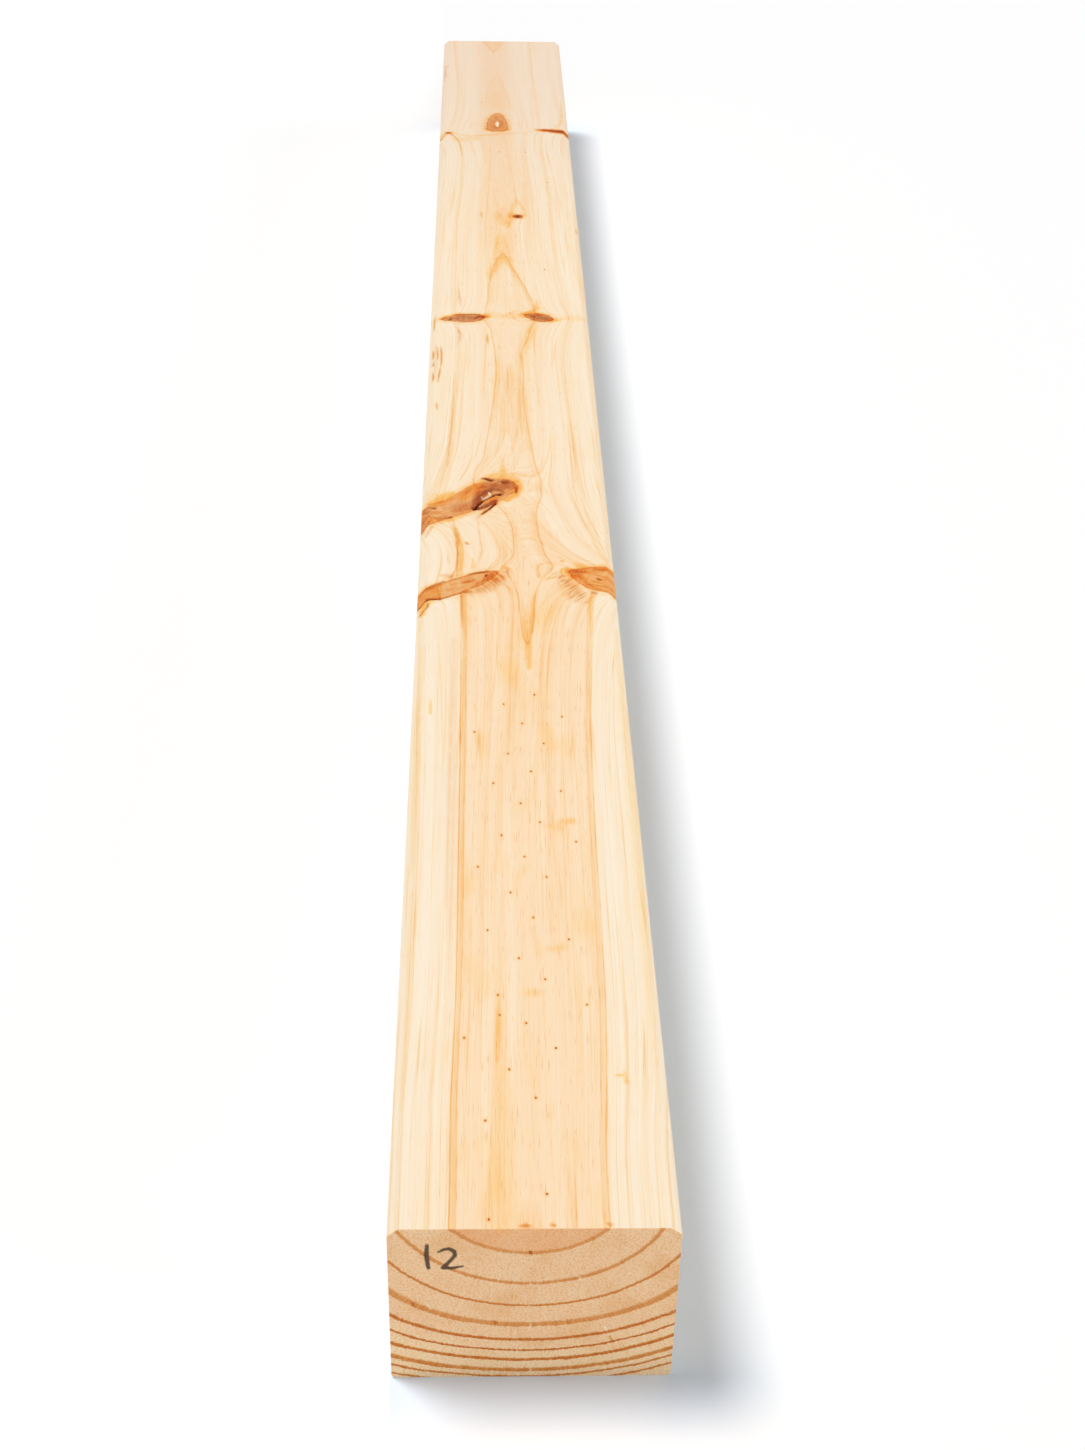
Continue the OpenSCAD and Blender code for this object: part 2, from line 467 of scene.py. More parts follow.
# The pin knot, its flares and the smear of the arch below it
PIN_KNOT = strokes({
    Mark.CHAR: (
        (1, (4.8, 829.2, 0.4), (7, 829, 1.6), (9.2, 828.8, 0.4)),
    ),
    Mark.BARK: (
        (0.6, 0, (5.6, 829.2, 0.3), (7.2, 829, 0.7), (8.6, 828.9, 0.3)),
    ),
    Mark.RESIN: (
        (0.35, (7, 862, 0.6), (4.6, 849, 1), (3.2, 836, 1.3)),
        (0.3, (7.2, 858, 0.5), (10, 846, 1), (11.6, 832, 1)),
        (0.55, (3, 834, 1.6), (1.6, 824, 1.8), (0.6, 810, 0.8)),
        (0.28, (-6, 838, 0.8), (-4.5, 828, 2.8), (-2, 816, 2)),
        (0.2, (-4, 800, 1.5), (-4, 784, 3), (-3.6, 768, 3.5)),
        (0.35, (-5.6, 798, 0.4), (-6.6, 784, 0.8), (-8.2, 764, 0.8)),
        (0.3, (-2, 798, 0.3), (-0.4, 780, 0.7), (0.8, 766, 0.8)),
    ),
})

# The far whorl
FAR_WHORL = strokes({
    Mark.BARK: (
        (0.4, 0.3, (26, 993.3, 0.2), (31, 992.6, 0.6), (37, 991, 0.8), (41.4, 989.6, 0.5)),
    ),
    Mark.EMBER: (
        (0.9, (23, 993.8, 0.5), (29, 993, 1.4), (36, 991.4, 1.8), (41, 989.8, 1.6), (45, 985, 1.2)),
        (0.3, (-11.6, 994, 0.6), (-9, 990.8, 0.8), (-1, 990.8, 0.8), (1.8, 994, 0.6)),
        (0.25, (-8, 1002, 0.8), (-5, 996, 1.2), (-2, 1002, 0.8), (-2.6, 1012, 0.8), (-7.4, 1012, 0.8)),
        (0.5, (-45, 977, 1), (-41.6, 982, 0.7), (-39.4, 985.6, 1.2)),
        (0.4, (-38, 985, 0.6), (-34.6, 978, 0.4), (-32, 970, 0.3), (-30.2, 958, 0.3), (-29.2, 940, 0.2)),
        (0.3, (-43.6, 1142, 0.2), (-43, 1122, 0.5), (-43.4, 1104, 0.2)),
        (0.35, (-42, 1139, 0.2), (-41.6, 1135, 0.4)),
        (0.4, (-16.3, 837, 0.2), (-16, 834, 0.45), (-16, 824, 0.05)),
        (0.35, (43.4, 812, 0.2), (43.6, 806, 0.4)),
    ),
    Mark.CHAR: (
        (0.32, (29, 992.8, 0.6), (36, 991, 1.6), (41.4, 989.8, 1.4)),
    ),
    Mark.RESIN: (
        (0.5, (21, 993.4, 0.4), (24, 992.6, 0.9), (28, 990, 0.8)),
        (0.3, (36, 1000, 0.6), (39.6, 1006, 0.9), (41, 1018, 0.8), (41.4, 1055, 0.4)),
        (0.35, (-13, 1000, 0.8), (-12.6, 992, 1), (-5, 988, 1), (2.8, 992, 1), (3, 1000, 0.8)),
        (0.3, (-37, 984.6, 0.5), (-24, 979.6, 1.2), (-10, 982, 1.2), (4, 986, 0.8), (20, 989, 0.5)),
        (0.22, (-35, 975, 2), (-29, 972, 4), (-20, 975, 3)),
        (0.22, (-31, 962, 0.3), (-29.2, 935, 0.3), (-29.4, 880, 0.25), (-31, 840, 0.25), (-32.8, 780, 0.1)),
        (0.16, (-38.4, 992, 0.1), (-35.4, 1015, 0.3), (-33.2, 1045, 0.3), (-33.2, 1095, 0.3),
         (-37, 1198, 0.4)),
        (0.18, (25, 998, 0.1), (24.4, 1020, 0.3), (23.4, 1065, 0.3), (22, 1120, 0.5), (21, 1198, 0.5)),
        (0.2, (25.6, 984, 0.1), (25.2, 952, 0.3), (26.6, 915, 0.3), (28.2, 860, 0.3), (28.8, 800, 0.3),
         (29.6, 752, 0.2)),
        (0.25, (-25.2, 988, 0.2), (-23, 965, 0.4), (-20.4, 940, 0.3)),
        (0.2, (-17.6, 980, 0.2), (-14.6, 960, 0.3), (-13, 925, 0.2)),
        (0.1, (-5, 1116, 0.6), (-5, 1098, 2.5), (-5, 1072, 5), (-5, 1044, 7)),
        (0.14, (-4.6, 1116, 0.5), (-8.6, 1098, 0.7), (-11.6, 1072, 0.7), (-14, 1040, 0.5)),
        (0.14, (-4.6, 1116, 0.5), (-1, 1098, 0.7), (2, 1072, 0.7), (5, 1040, 0.5)),
        (0.12, (-6, 1176, 0.8), (-6.4, 1186, 3.4), (-6.8, 1199, 6)),
        (0.2, (-14.6, 1199, 0.6), (-10, 1185, 0.7), (-6, 1172, 0.9), (-2, 1185, 0.7), (1.6, 1199, 0.6)),
    ),
    Mark.BLUSH: (
        (0.2, (-8, 996, 4), (-2, 996, 4), (-5, 1006, 6.6), (-5, 1020, 4)),
    ),
    Mark.PALE: (
        (1, 1.4, (-5, 1000.6, 0.7), (-4.9, 1006, 1.3), (-4.9, 1011, 0.7)),
    ),
})

# Streaks and marks along the arrises and near the marked end
ARRISES = strokes({
    Mark.EMBER: (
        (0.75, (-38.8, 634, 0.05), (-38.2, 624, 0.3), (-38.1, 610, 0.2), (-38.6, 604, 0.05)),
        (0.6, (-40.6, 632, 0.05), (-40.1, 622, 0.2), (-40, 614, 0.05)),
        (0.8, (-42.9, 629, 0.1), (-42.6, 622, 0.35), (-42.8, 617, 0.05)),
        (0.7, (-42.6, 614, 0.1), (-42.4, 609, 0.35)),
        (0.8, (-38.5, 605, 0.1), (-38.9, 597, 0.3), (-39.7, 587, 0.1)),
        (0.75, (-42.6, 602, 0.05), (-42.2, 593, 0.4), (-42.4, 588, 0.05)),
        (0.5, (-39.7, 563, 0.1), (-39.5, 558, 0.3), (-39.4, 553, 0.1)),
        (0.6, (-42.6, 676, 0.1), (-42.8, 664, 0.35), (-43, 654, 0.1)),
        (0.12, (-28.9, 150, 0.1), (-28.8, 230, 0.25), (-28.7, 310, 0.15)),
        (0.7, (-4.6, 1.2, 0.2), (-2.8, 1.5, 0.5), (-1, 1.2, 0.2)),
        (0.6, (5, 1.8, 0.3), (6, 1.5, 0.3)),
        (0.4, (22.2, 2.2, 0.3), (23, 1.6, 0.5)),
    ),
    Mark.BLUSH: (
        (0.3, (-41.6, 634, 0.4), (-41, 620, 0.9), (-41, 590, 0.3)),
        (0.14, (-27.6, 110, 0.3), (-28, 180, 1.6), (-28, 330, 1.4)),
        (0.14, (43.6, 400, 0.8), (43.8, 520, 1.6), (43.8, 700, 1.6), (43.8, 860, 0.8)),
    ),
    Mark.RESIN: (
        (0.55, (-10.2, 104, 0.2), (-10.4, 90, 0.8), (-11, 72, 0.5)),
        (0.2, (-10, 140, 0.5), (-10, 80, 1.5), (-9, 50, 3), (-9.4, 2, 3)),
        (0.15, (-42, 50, 0.3), (-41.6, 90, 0.6), (-41.8, 160, 0.3)),
        (0.2, (-42.2, 170, 0.4), (-42.2, 240, 1.3), (-41.8, 325, 0.6)),
        (0.18, (41.2, 60, 0.4), (42, 150, 1.4), (42.6, 260, 1.4), (43.4, 340, 0.6)),
        (0.8, (27.6, 65, 0.15), (30.6, 65.2, 0.3)),
        (0.5, (31, 67, 0.3), (31.4, 62, 0.5)),
        (0.4, (15, 201, 1.6), (18.4, 202, 1.4)),
        (0.25, (8, 199, 0.8), (14, 198, 2)),
        (0.25, (9, 128, 1.2), (13, 129, 1.4)),
        (0.25, (0, 105, 1.2), (3, 105, 1.4)),
        (0.5, (-37.4, 284, 0.3), (-37.2, 274, 0.4)),
    ),
})

# The pencilled length and the small checks in the marked end
MARKED_END = strokes({
    Mark.PENCIL: (
        (1, 0, (-32.8, -6.8, 0.55), (-33, -11.5, 0.8), (-32.5, -17.4, 0.6)),
        (1, 0, (-29.4, -10, 0.4), (-27.8, -8.9, 0.6), (-26, -8.5, 0.7), (-24.5, -9.6, 0.7),
         (-24.3, -11.6, 0.65), (-25.6, -13.8, 0.6), (-28, -17.2, 0.75), (-25.4, -17.4, 0.65),
         (-21.8, -16.5, 0.35)),
    ),
    Mark.PALE: (
        (0.6, 0.3, (-0.9, -23.6, 0.15), (-0.8, -25.4, 0.25)),
        (0.5, 0.2, (1.2, -23.8, 0.15), (1.3, -25.2, 0.2)),
        (0.6, 0.2, (-1.3, -34.4, 0.15), (-1.1, -35.8, 0.3)),
        (0.5, 0.15, (-0.6, -43.6, 0.2), (-0.6, -46.4, 0.25)),
        (0.7, 0.2, (-0.4, -64.8, 0.2), (-0.2, -67.6, 0.3)),
        (0.8, 0.2, (-5.4, -47.4, 0.2), (-5.3, -48.8, 0.3)),
        (0.8, 0.25, (22.9, -45.6, 0.3), (23.6, -47.6, 0.35)),
        (0.6, 0.2, (-4.8, -56.8, 0.2), (-4.5, -58.4, 0.3)),
        (0.5, 0.15, (14.2, -21.8, 0.3), (14.8, -23.6, 0.4)),
        (0.5, 0.15, (-33, -34.6, 0.3), (-31.8, -36.6, 0.4)),
    ),
    Mark.BARK: (
        (0.6, 0.2, (-1.3, -10, 0.3), (-1.1, -11.2, 0.35)),
        (0.6, 0.2, (10.5, -61.4, 0.3), (10.9, -61.6, 0.35)),
        (0.45, 0.15, (24.6, -50.6, 0.15), (25.6, -52.8, 0.2)),
        (0.4, 0.15, (-37.9, -33.4, 0.1), (-37.4, -34.6, 0.3)),
        (0.4, 0.15, (-12.2, -42.4, 0.1), (-11.6, -43.6, 0.3)),
    ),
}, Face.MARKED_END)


@dataclass(frozen=True)
class Branch:
    """A branch that the faces cut: its section in the top face, and its lean for each millimetre down."""

    spine: tuple[Triple, ...]
    lean: Pair
    warmth: float
    rim: float
    swell: float = 0.0

    def section(self, points: np.ndarray) -> tuple[np.ndarray, np.ndarray, np.ndarray]:
        """Measures points against the branch, wherever a face cuts it.

        Args:
            points: Points in the wood's own millimetres.

        Returns:
            The signed distance to the branch, the distance along its section and the share across.
        """
        x, y, z = points.T
        gap, along, across, _ = chain_distance(x + z * self.lean[0], y + z * self.lean[1], self.spine)
        return gap + z * self.swell, along, across


@dataclass(frozen=True)
class Ring:
    """One ring's dark latewood: its depth and width in millimetres, and its strength sawn and planed."""

    depth: float
    width: float
    strength: float
    planed: float


class Timber:
    """The wood itself: growth rings round a pith above the top face, branches, seams and stains.

    Its own millimetres run from the middle of the marked end's upper edge: x across, y along, z up.
    """

    PITH_HEIGHT = 21.8
    # Distances given to points with no mark or no branch near them
    FAR = 20.0
    FAR_FROM_BRANCH = 60.0
    # Shift of the streaks from one branch to the next, so that no two branches look alike
    STREAK_SHIFT = 60.0
    NEEDLE_RADIUS = 0.3
    RINGS = (
        Ring(10.7, 1.7, 0.36, 0.85),
        Ring(24.7, 1.6, 0.42, 0.25),
        Ring(35.2, 1.1, 0.6, 0.6),
        Ring(44.4, 2.6, 0.42, 0.7),
        Ring(51.8, 1.5, 0.75, 0.8),
        Ring(56.9, 1.0, 0.85, 0.8),
        Ring(61.6, 1.6, 0.8, 0.9),
        Ring(66.8, 2.0, 0.62, 0.9),
        Ring(70.0, 1.0, 0.75, 0.8),
        Ring(73.4, 1.0, 0.75, 0.8),
    )
    # Across the top face: the line under the pith, and where the first ring meets the face
    PITH_LINE = Track(
        (0, -1.5), (200, 0), (330, 4), (400, 3), (480, 2), (600, -0.5), (700, -1.5),
        (770, -3), (900, -4), (1000, -5), (1200, -7),
    )
    LEFT_LINE = Track(
        (0, -25.6), (50, -25.4), (110, -24.3), (290, -24), (345, -24.2), (365, -24.5), (385, -26.5),
        (405, -26.5), (425, -28.5), (436, -31), (456, -36.8), (470, -35.2), (500, -33), (540, -31.8),
        (600, -30.3), (640, -29.5), (660, -30), (672, -31.5), (690, -32.8), (820, -32.8), (860, -30.5),
        (900, -29), (940, -29), (958, -30.3), (970, -33.5), (985, -38.5), (997, -38), (1015, -35),
        (1040, -33.2), (1090, -33), (1150, -35), (1200, -37),
    )
    RIGHT_LINE = Track(
        (0, 22.2), (30, 22.8), (60, 24.2), (100, 25.6), (200, 26.6), (260, 27.8), (300, 29.6),
        (340, 31.8), (362, 33.2), (371, 35.5), (385, 38.5), (396, 43.5), (404, 41), (420, 37.8),
        (445, 35.8), (480, 33.8), (540, 31.2), (600, 30), (630, 31), (655, 33.4), (672, 35.4),
        (690, 34), (710, 32.5), (745, 30.2), (800, 28.8), (870, 28.2), (920, 26.6), (950, 25.2),
        (975, 25.5), (988, 26.5), (996, 23.5), (1010, 25), (1060, 23.6), (1120, 21.8), (1200, 21),
    )
    # How far the first ring would lie from the pith line, for the flattened curves of deeper rings
    LEFT_SPREAD = Track(
        (0, 24), (14, 23.6), (28, 24), (39, 25.3), (46, 26.6), (53, 28.4), (59, 28.8), (66, 32),
    )
    RIGHT_SPREAD = Track((0, 23.8), (12, 24.4), (27, 25.1), (38, 26.4), (56, 26.6), (70, 27))
    # Half widths of the innermost ring where the face lays it bare, below 0 where it stays inside
    CORE_LEFT = Track(
        (0, -6), (316, -4), (327, 0), (333, 1.4), (345, 2.3), (362, 2.8), (375, 4.4), (385, 6.6),
        (391, 10), (396, 8), (402, 4.6), (412, 3.7), (425, 3.6), (440, 6), (450, 10.5), (462, 17),
        (475, 22), (485, 21), (500, 16.7), (520, 14.3), (540, 12.3), (560, 10), (580, 8.6),
        (600, 7.4), (620, 7.4), (640, 8.6), (655, 9.6), (665, 12), (672, 13.4), (680, 12.4),
        (700, 10.3), (720, 9.4), (735, 8.2), (745, 6), (757, 3.8), (769, 0), (785, -3), (900, -6),
        (1150, -5), (1171, 0), (1185, 3.6), (1200, 7),
    )
    CORE_RIGHT = Track(
        (0, -6), (316, -4), (327, 0), (333, 1.2), (345, 2.6), (362, 3.8), (375, 6), (385, 9.5),
        (392, 13.6), (398, 12.4), (404, 10.4), (412, 9.2), (425, 7.6), (440, 7.3), (450, 8.6),
        (462, 10.6), (475, 11), (485, 9.8), (500, 8.3), (520, 7.3), (540, 6.4), (560, 6), (600, 6.8),
        (620, 6.6), (632, 8), (645, 10.8), (657, 12.6), (668, 15), (680, 15.6), (690, 15.2), (700, 13.9),
        (715, 11.2), (730, 8), (745, 4.6), (757, 2.8), (769, 0), (785, -3), (900, -6), (1150, -5),
        (1171, 0), (1185, 3.4), (1200, 6.4),
    )
    BRANCHES = (
        # The left and the right spike knot
        Branch(
            ((-10.8, 387.2, 2.2), (-14.5, 384.3, 4.1), (-20, 380.2, 5.6), (-27, 376.2, 5.9),
             (-34, 371.6, 5.6), (-40, 368.5, 5), (-50, 361.5, 5)),
            (-1.05, -0.73), 0.3, 0.35,
        ),
        Branch(
            ((26.2, 388.4, 2.4), (30, 386.2, 5.4), (35, 384, 8.8), (40, 382.2, 11.2), (52, 379.5, 12.6)),
            (1.1, -0.45), 0.75, 0.45,
        ),
        # The torn loose knot
        Branch(
            ((-2.2, 470.5, 3.8), (-7, 469.2, 8.8), (-13, 464.3, 10.6), (-20, 456.8, 10.2),
             (-27, 450.5, 8.4), (-35, 445.5, 8.2), (-50, 437.5, 10)),
            (-1.1, -0.8), 0.2, 0.25,
        ),
        # The pair of eye knots
        Branch(
            ((-38.6, 669.2, 0.8), (-35, 669.6, 3.2), (-28, 670.8, 5.4), (-20.6, 671.6, 5.2),
             (-17.6, 672.4, 3.6), (-15.6, 673, 1.6)),
            (-1.8, -0.3), 0.0, 1.0,
        ),
        Branch(
            ((9.6, 676.4, 1.4), (12, 675, 3.2), (16, 673.2, 5), (19, 672, 5.2), (22, 670.6, 3)),
            (1.25, -0.35), 0.2, 0.9,
        ),
        # The pin knot
        Branch(((5.4, 829.2, 1.6), (7, 829, 3.2), (8.6, 829, 1.8)), (0.47, -0.5), 0.45, 1.0, 0.05),
        # The far whorl: the bell with the hollow pith, the spike, the stub and the knot at the arris
        Branch(
            ((-8.6, 995, 4.2), (-1.6, 995, 4.2), (-5, 1000, 7.4), (-5, 1008, 7), (-5, 1016, 6),
             (-4.8, 1022, 4.4), (-4.7, 1026, 2.4)),
            (-0.03, -2.4), 0.3, 0.3, 0.1,
        ),
        Branch(
            ((23.6, 993.8, 0.6), (28, 993.2, 2.3), (34, 991.8, 3.5), (40, 990, 3.4), (45, 985, 1.8),
             (52, 980, 1.4)),
            (1.3, -0.5), 0.8, 0.9,
        ),
        Branch(((-39.2, 985.6, 1.4), (-37.2, 985.8, 0.6)), (-1.4, -0.6), 0.6, 1.0),
        Branch(((-44.4, 978.6, 1.2), (-52, 974, 2.4)), (-1.4, -0.6), 0.7, 0.7),
    )
    STROKES = (
        *LOOSE_KNOT, *LEFT_SPIKE, *RIGHT_SPIKE, *CORE_TIP, *EYE_KNOTS, *ARCH_TOP, *PIN_KNOT, *FAR_WHORL,
        *ARRISES, *MARKED_END,
        # Resin over the left spike knot, which stops short across it
        Stroke(Mark.RESIN, ((-44, 364.5, 4), (-38, 369.6, 4.5), (-34, 372, 4.5)), 0.6, until=-33.8),
    )
    NEEDLE_TRACES = (
        (6, 288), (-7, 281), (17, 272), (0.5, 267), (-19, 261), (9, 253), (-5.5, 246), (3.5, 234),
        (-11.5, 226), (15, 221), (-1, 213), (6.3, 201), (-8.5, 193), (19.7, 189), (0, 180), (-17.5, 174),
        (8, 168), (-5.5, 159), (2.5, 145), (-14, 138), (15, 133), (-3, 123), (6, 112), (-10.5, 104),
        (20, 99), (-10, 94), (-1, 90), (-22, 83), (8.7, 78), (-7, 68), (1.5, 55), (-15, 45), (4, 14),
        (-14, 4), (27.4, 890), (22, 743), (-16, 1052), (14, 948), (-4, 948),
    )

    def ring_depth(self, points: np.ndarray) -> np.ndarray:
        """Finds the growth ring that each point lies in, as its depth under the middle of the top face.

        Args:
            points: Points in the wood's own millimetres.

        Returns:
            The ring's depth under the line of the pith, in millimetres.
        """
        x, y, z = points.T
        reach_squared = (self.PITH_HEIGHT + self.RINGS[0].depth) ** 2 - self.PITH_HEIGHT**2
        side = self.lateral(x, y, -z)
        radius = np.sqrt(side**2 * reach_squared + (self.PITH_HEIGHT - z) ** 2)
        inner = smooth(8.0, 30.0, np.abs(x) * 0.3 - z) * smooth(0.0, 160.0, y)
        return radius - self.PITH_HEIGHT + 1.3 * inner * fibre_noise(points, (90.0, 210.0, 90.0), 3.1)

    def lateral(self, x: np.ndarray, y: np.ndarray, depth: np.ndarray) -> np.ndarray:
        """Gives the place across the grain, 0 under the pith and 1 or -1 where the first ring surfaces.

        Args:
            x: Place across the plank, in millimetres.
            y: Distance from the marked end, in millimetres.
            depth: Depth below the top face, in millimetres.

        Returns:
            The share of the way from the pith line to the first ring.
        """
        calm = smooth(2.0, 40.0, depth)
        near_end = smooth(0.0, 60.0, y)
        middle = self.PITH_LINE(y)
        sides = []
        for surface, spread in (
            (middle - self.LEFT_LINE(y), self.LEFT_SPREAD(depth)),
            (self.RIGHT_LINE(y) - middle, self.RIGHT_SPREAD(depth)),
        ):
            inner = surface * (1.0 - calm) + spread * calm
            sides.append(inner * near_end + (1.0 - near_end) * spread)
        offset = x - middle
        return np.where(offset > 0, offset / sides[1], offset / sides[0])

    def core_gap(self, points: np.ndarray) -> np.ndarray:
        """Measures how far points on the top face lie outside the innermost bare ring.

        Args:
            points: Points in the wood's own millimetres.

        Returns:
            Millimetres across the grain, negative inside the ring.
        """
        x, y, z = points.T
        offset = x - self.PITH_LINE(y)
        half = np.where(offset > 0, self.CORE_RIGHT(y), self.CORE_LEFT(y))
        return np.abs(offset) - half + 2.0 * np.maximum(-z - 0.5, 0.0)

    def nearest_branch(self, points: np.ndarray) -> dict[str, np.ndarray]:
        """Finds the branch that lies nearest to each point.

        Args:
            points: Points in the wood's own millimetres.

        Returns:
            The signed gap, the place along and across the branch, its warmth and its rim strength.
        """
        found = {name: np.zeros(len(points)) for name in ("along", "across", "warmth", "rim")}
        found["gap"] = np.full(len(points), self.FAR_FROM_BRANCH)
        for index, branch in enumerate(self.BRANCHES):
            gap, along, across = branch.section(points)
            nearer = gap < found["gap"]
            values = {
                "gap": gap,
                "along": along + self.STREAK_SHIFT * index,
                "across": across,
                "warmth": branch.warmth,
                "rim": branch.rim,
            }
            for name, value in values.items():
                found[name] = np.where(nearer, value, found[name])
        return found

    def branch_pull(self, points: np.ndarray) -> np.ndarray:
        """Works out how far the branches draw the grain out towards the arrises.

        Args:
            points: Points in the wood's own millimetres.

        Returns:
            Millimetres across the grain, positive towards +X.
        """
        pull = np.zeros(len(points))
        for branch in self.BRANCHES:
            gap, _, _ = branch.section(points)
            size = max(point[2] for point in branch.spine)
            outwards = math.copysign(min(1.0, abs(branch.lean[0])), branch.lean[0])
            pull += outwards * 0.9 * size * np.exp(-np.maximum(gap, 0.0) / (1.6 * size))
        return pull

    def grain_place(self, points: np.ndarray) -> np.ndarray:
        """Straightens the grain, so that a pattern drawn along y bends round the branches.

        Args:
            points: Points in the wood's own millimetres.

        Returns:
            The straightened place of each point, in millimetres.
        """
        x, y, z = points.T
        return np.stack([self.lateral(x, y, -z) * 25.0 - self.branch_pull(points), y, z], 1)

    def soft_marks(self, mark: Mark, points: np.ndarray) -> np.ndarray:
        """Draws every stroke of one kind with a soft edge.

        Args:
            mark: The kind of stroke.
            points: Points in the wood's own millimetres.

        Returns:
            How strongly each point is marked, from 0 to 1.
        """
        total = np.zeros(len(points))
        for stroke in self.STROKES:
            if stroke.mark is mark:
                gap, half = stroke.measure(points)
                cover = 1.0 - smooth(-0.6, 1.0, gap / (0.35 + half))
                taper = np.minimum(1.0, 0.15 + 1.2 * half / stroke.widest)
                cut = smooth(stroke.until + 0.5, stroke.until - 0.5, points[:, 0])
                total = np.maximum(total, stroke.strength * cover * taper * cut)
        return total

    def crisp_marks(self, mark: Mark, points: np.ndarray) -> tuple[np.ndarray, np.ndarray]:
        """Measures the distance to the nearest stroke of one kind, whose edge is then drawn sharply.

        Args:
            mark: The kind of stroke.
            points: Points in the wood's own millimetres.

        Returns:
            The signed distance in millimetres and that stroke's strength.
        """
        nearest = np.full(len(points), self.FAR)
        strength = np.zeros(len(points))
        for stroke in self.STROKES:
            if stroke.mark is mark:
                gap = stroke.gap(points)
                strength = np.where(gap < nearest, stroke.strength, strength)
                nearest = np.minimum(nearest, gap)
        return nearest, strength

    def needle_gap(self, points: np.ndarray) -> np.ndarray:
        """Measures the distance to the nearest trace that a needle left in the first year's wood.

        Args:
            points: Points in the wood's own millimetres.

        Returns:
            The signed distance in millimetres, large off the top face.
        """
        x, y, z = points.T
        nearest = np.full(len(points), self.FAR)
        for trace_x, trace_y in self.NEEDLE_TRACES:
            nearest = np.minimum(nearest, np.hypot(x - trace_x, (y - trace_y) * 0.7))
        return nearest - self.NEEDLE_RADIUS + 10.0 * smooth(0.5, 1.5, -z)

    def sink(self, points: np.ndarray) -> np.ndarray:
        """Works out how deep the torn hollow, the seams and the checks go.

        Args:
            points: Points in the wood's own millimetres.

        Returns:
            Depth below the sawn or planed face, in millimetres.
        """
        total = np.zeros(len(points))
        for stroke in self.STROKES:
            if stroke.depth > 0:
                half = stroke.widest
                wall = 1.0 - smooth(-half, 0.4 + 0.2 * half, stroke.gap(points))
                total = np.maximum(total, stroke.depth * wall)
        return total

    def cell_size(self, points: np.ndarray) -> np.ndarray:
        """Says how fine the mesh has to be at each point, so that it carries what is drawn there.

        Args:
            points: Points in the wood's own millimetres.

        Returns:
            The wanted size of a face, in millimetres.
        """
        z = points[:, 2]
        wanted = 0.95 + 0.3 * np.maximum(self.nearest_branch(points)["gap"] - 2.0, 0.0)
        wanted = np.where(z < -3.0, np.maximum(wanted, 1.6), wanted)
        for stroke in self.STROKES:
            finest = 0.4 if stroke.mark in CRISP else max(0.6, 0.7 * stroke.widest)
            wanted = np.minimum(wanted, finest + 0.35 * np.maximum(stroke.gap(points) - 0.6, 0.0))
        wanted = np.minimum(wanted, 0.45 + 0.35 * np.maximum(self.needle_gap(points) - 0.4, 0.0))
        core = np.where(z > -0.5, 1.5 + 0.3 * np.abs(self.core_gap(points)), 99.0)
        return np.minimum(wanted, core)


class Socket:
    """One value in a node tree, so that shader maths reads as an expression."""

    def __init__(self, recipe: "Recipe", output: bpy.types.NodeSocket) -> None:
        """Keeps the node tree and the output that carries the value."""
        self.recipe = recipe
        self.output = output

    def __add__(self, other: "Value") -> "Socket":
        """Adds."""
        return self.recipe.maths("ADD", self, other)

    def __sub__(self, other: "Value") -> "Socket":
        """Takes away."""
        return self.recipe.maths("SUBTRACT", self, other)

    def __rsub__(self, other: "Value") -> "Socket":
        """Takes this value away from another."""
        return self.recipe.maths("SUBTRACT", other, self)

    def __mul__(self, other: "Value") -> "Socket":
        """Multiplies."""
        return self.recipe.maths("MULTIPLY", self, other)

    def __truediv__(self, other: "Value") -> "Socket":
        """Divides."""
        return self.recipe.maths("DIVIDE", self, other)

    def __gt__(self, other: "Value") -> "Socket":
        """Gives 1 where this value is the greater one."""
        return self.recipe.maths("GREATER_THAN", self, other)

    __radd__ = __add__
    __rmul__ = __mul__


Value = Socket | float


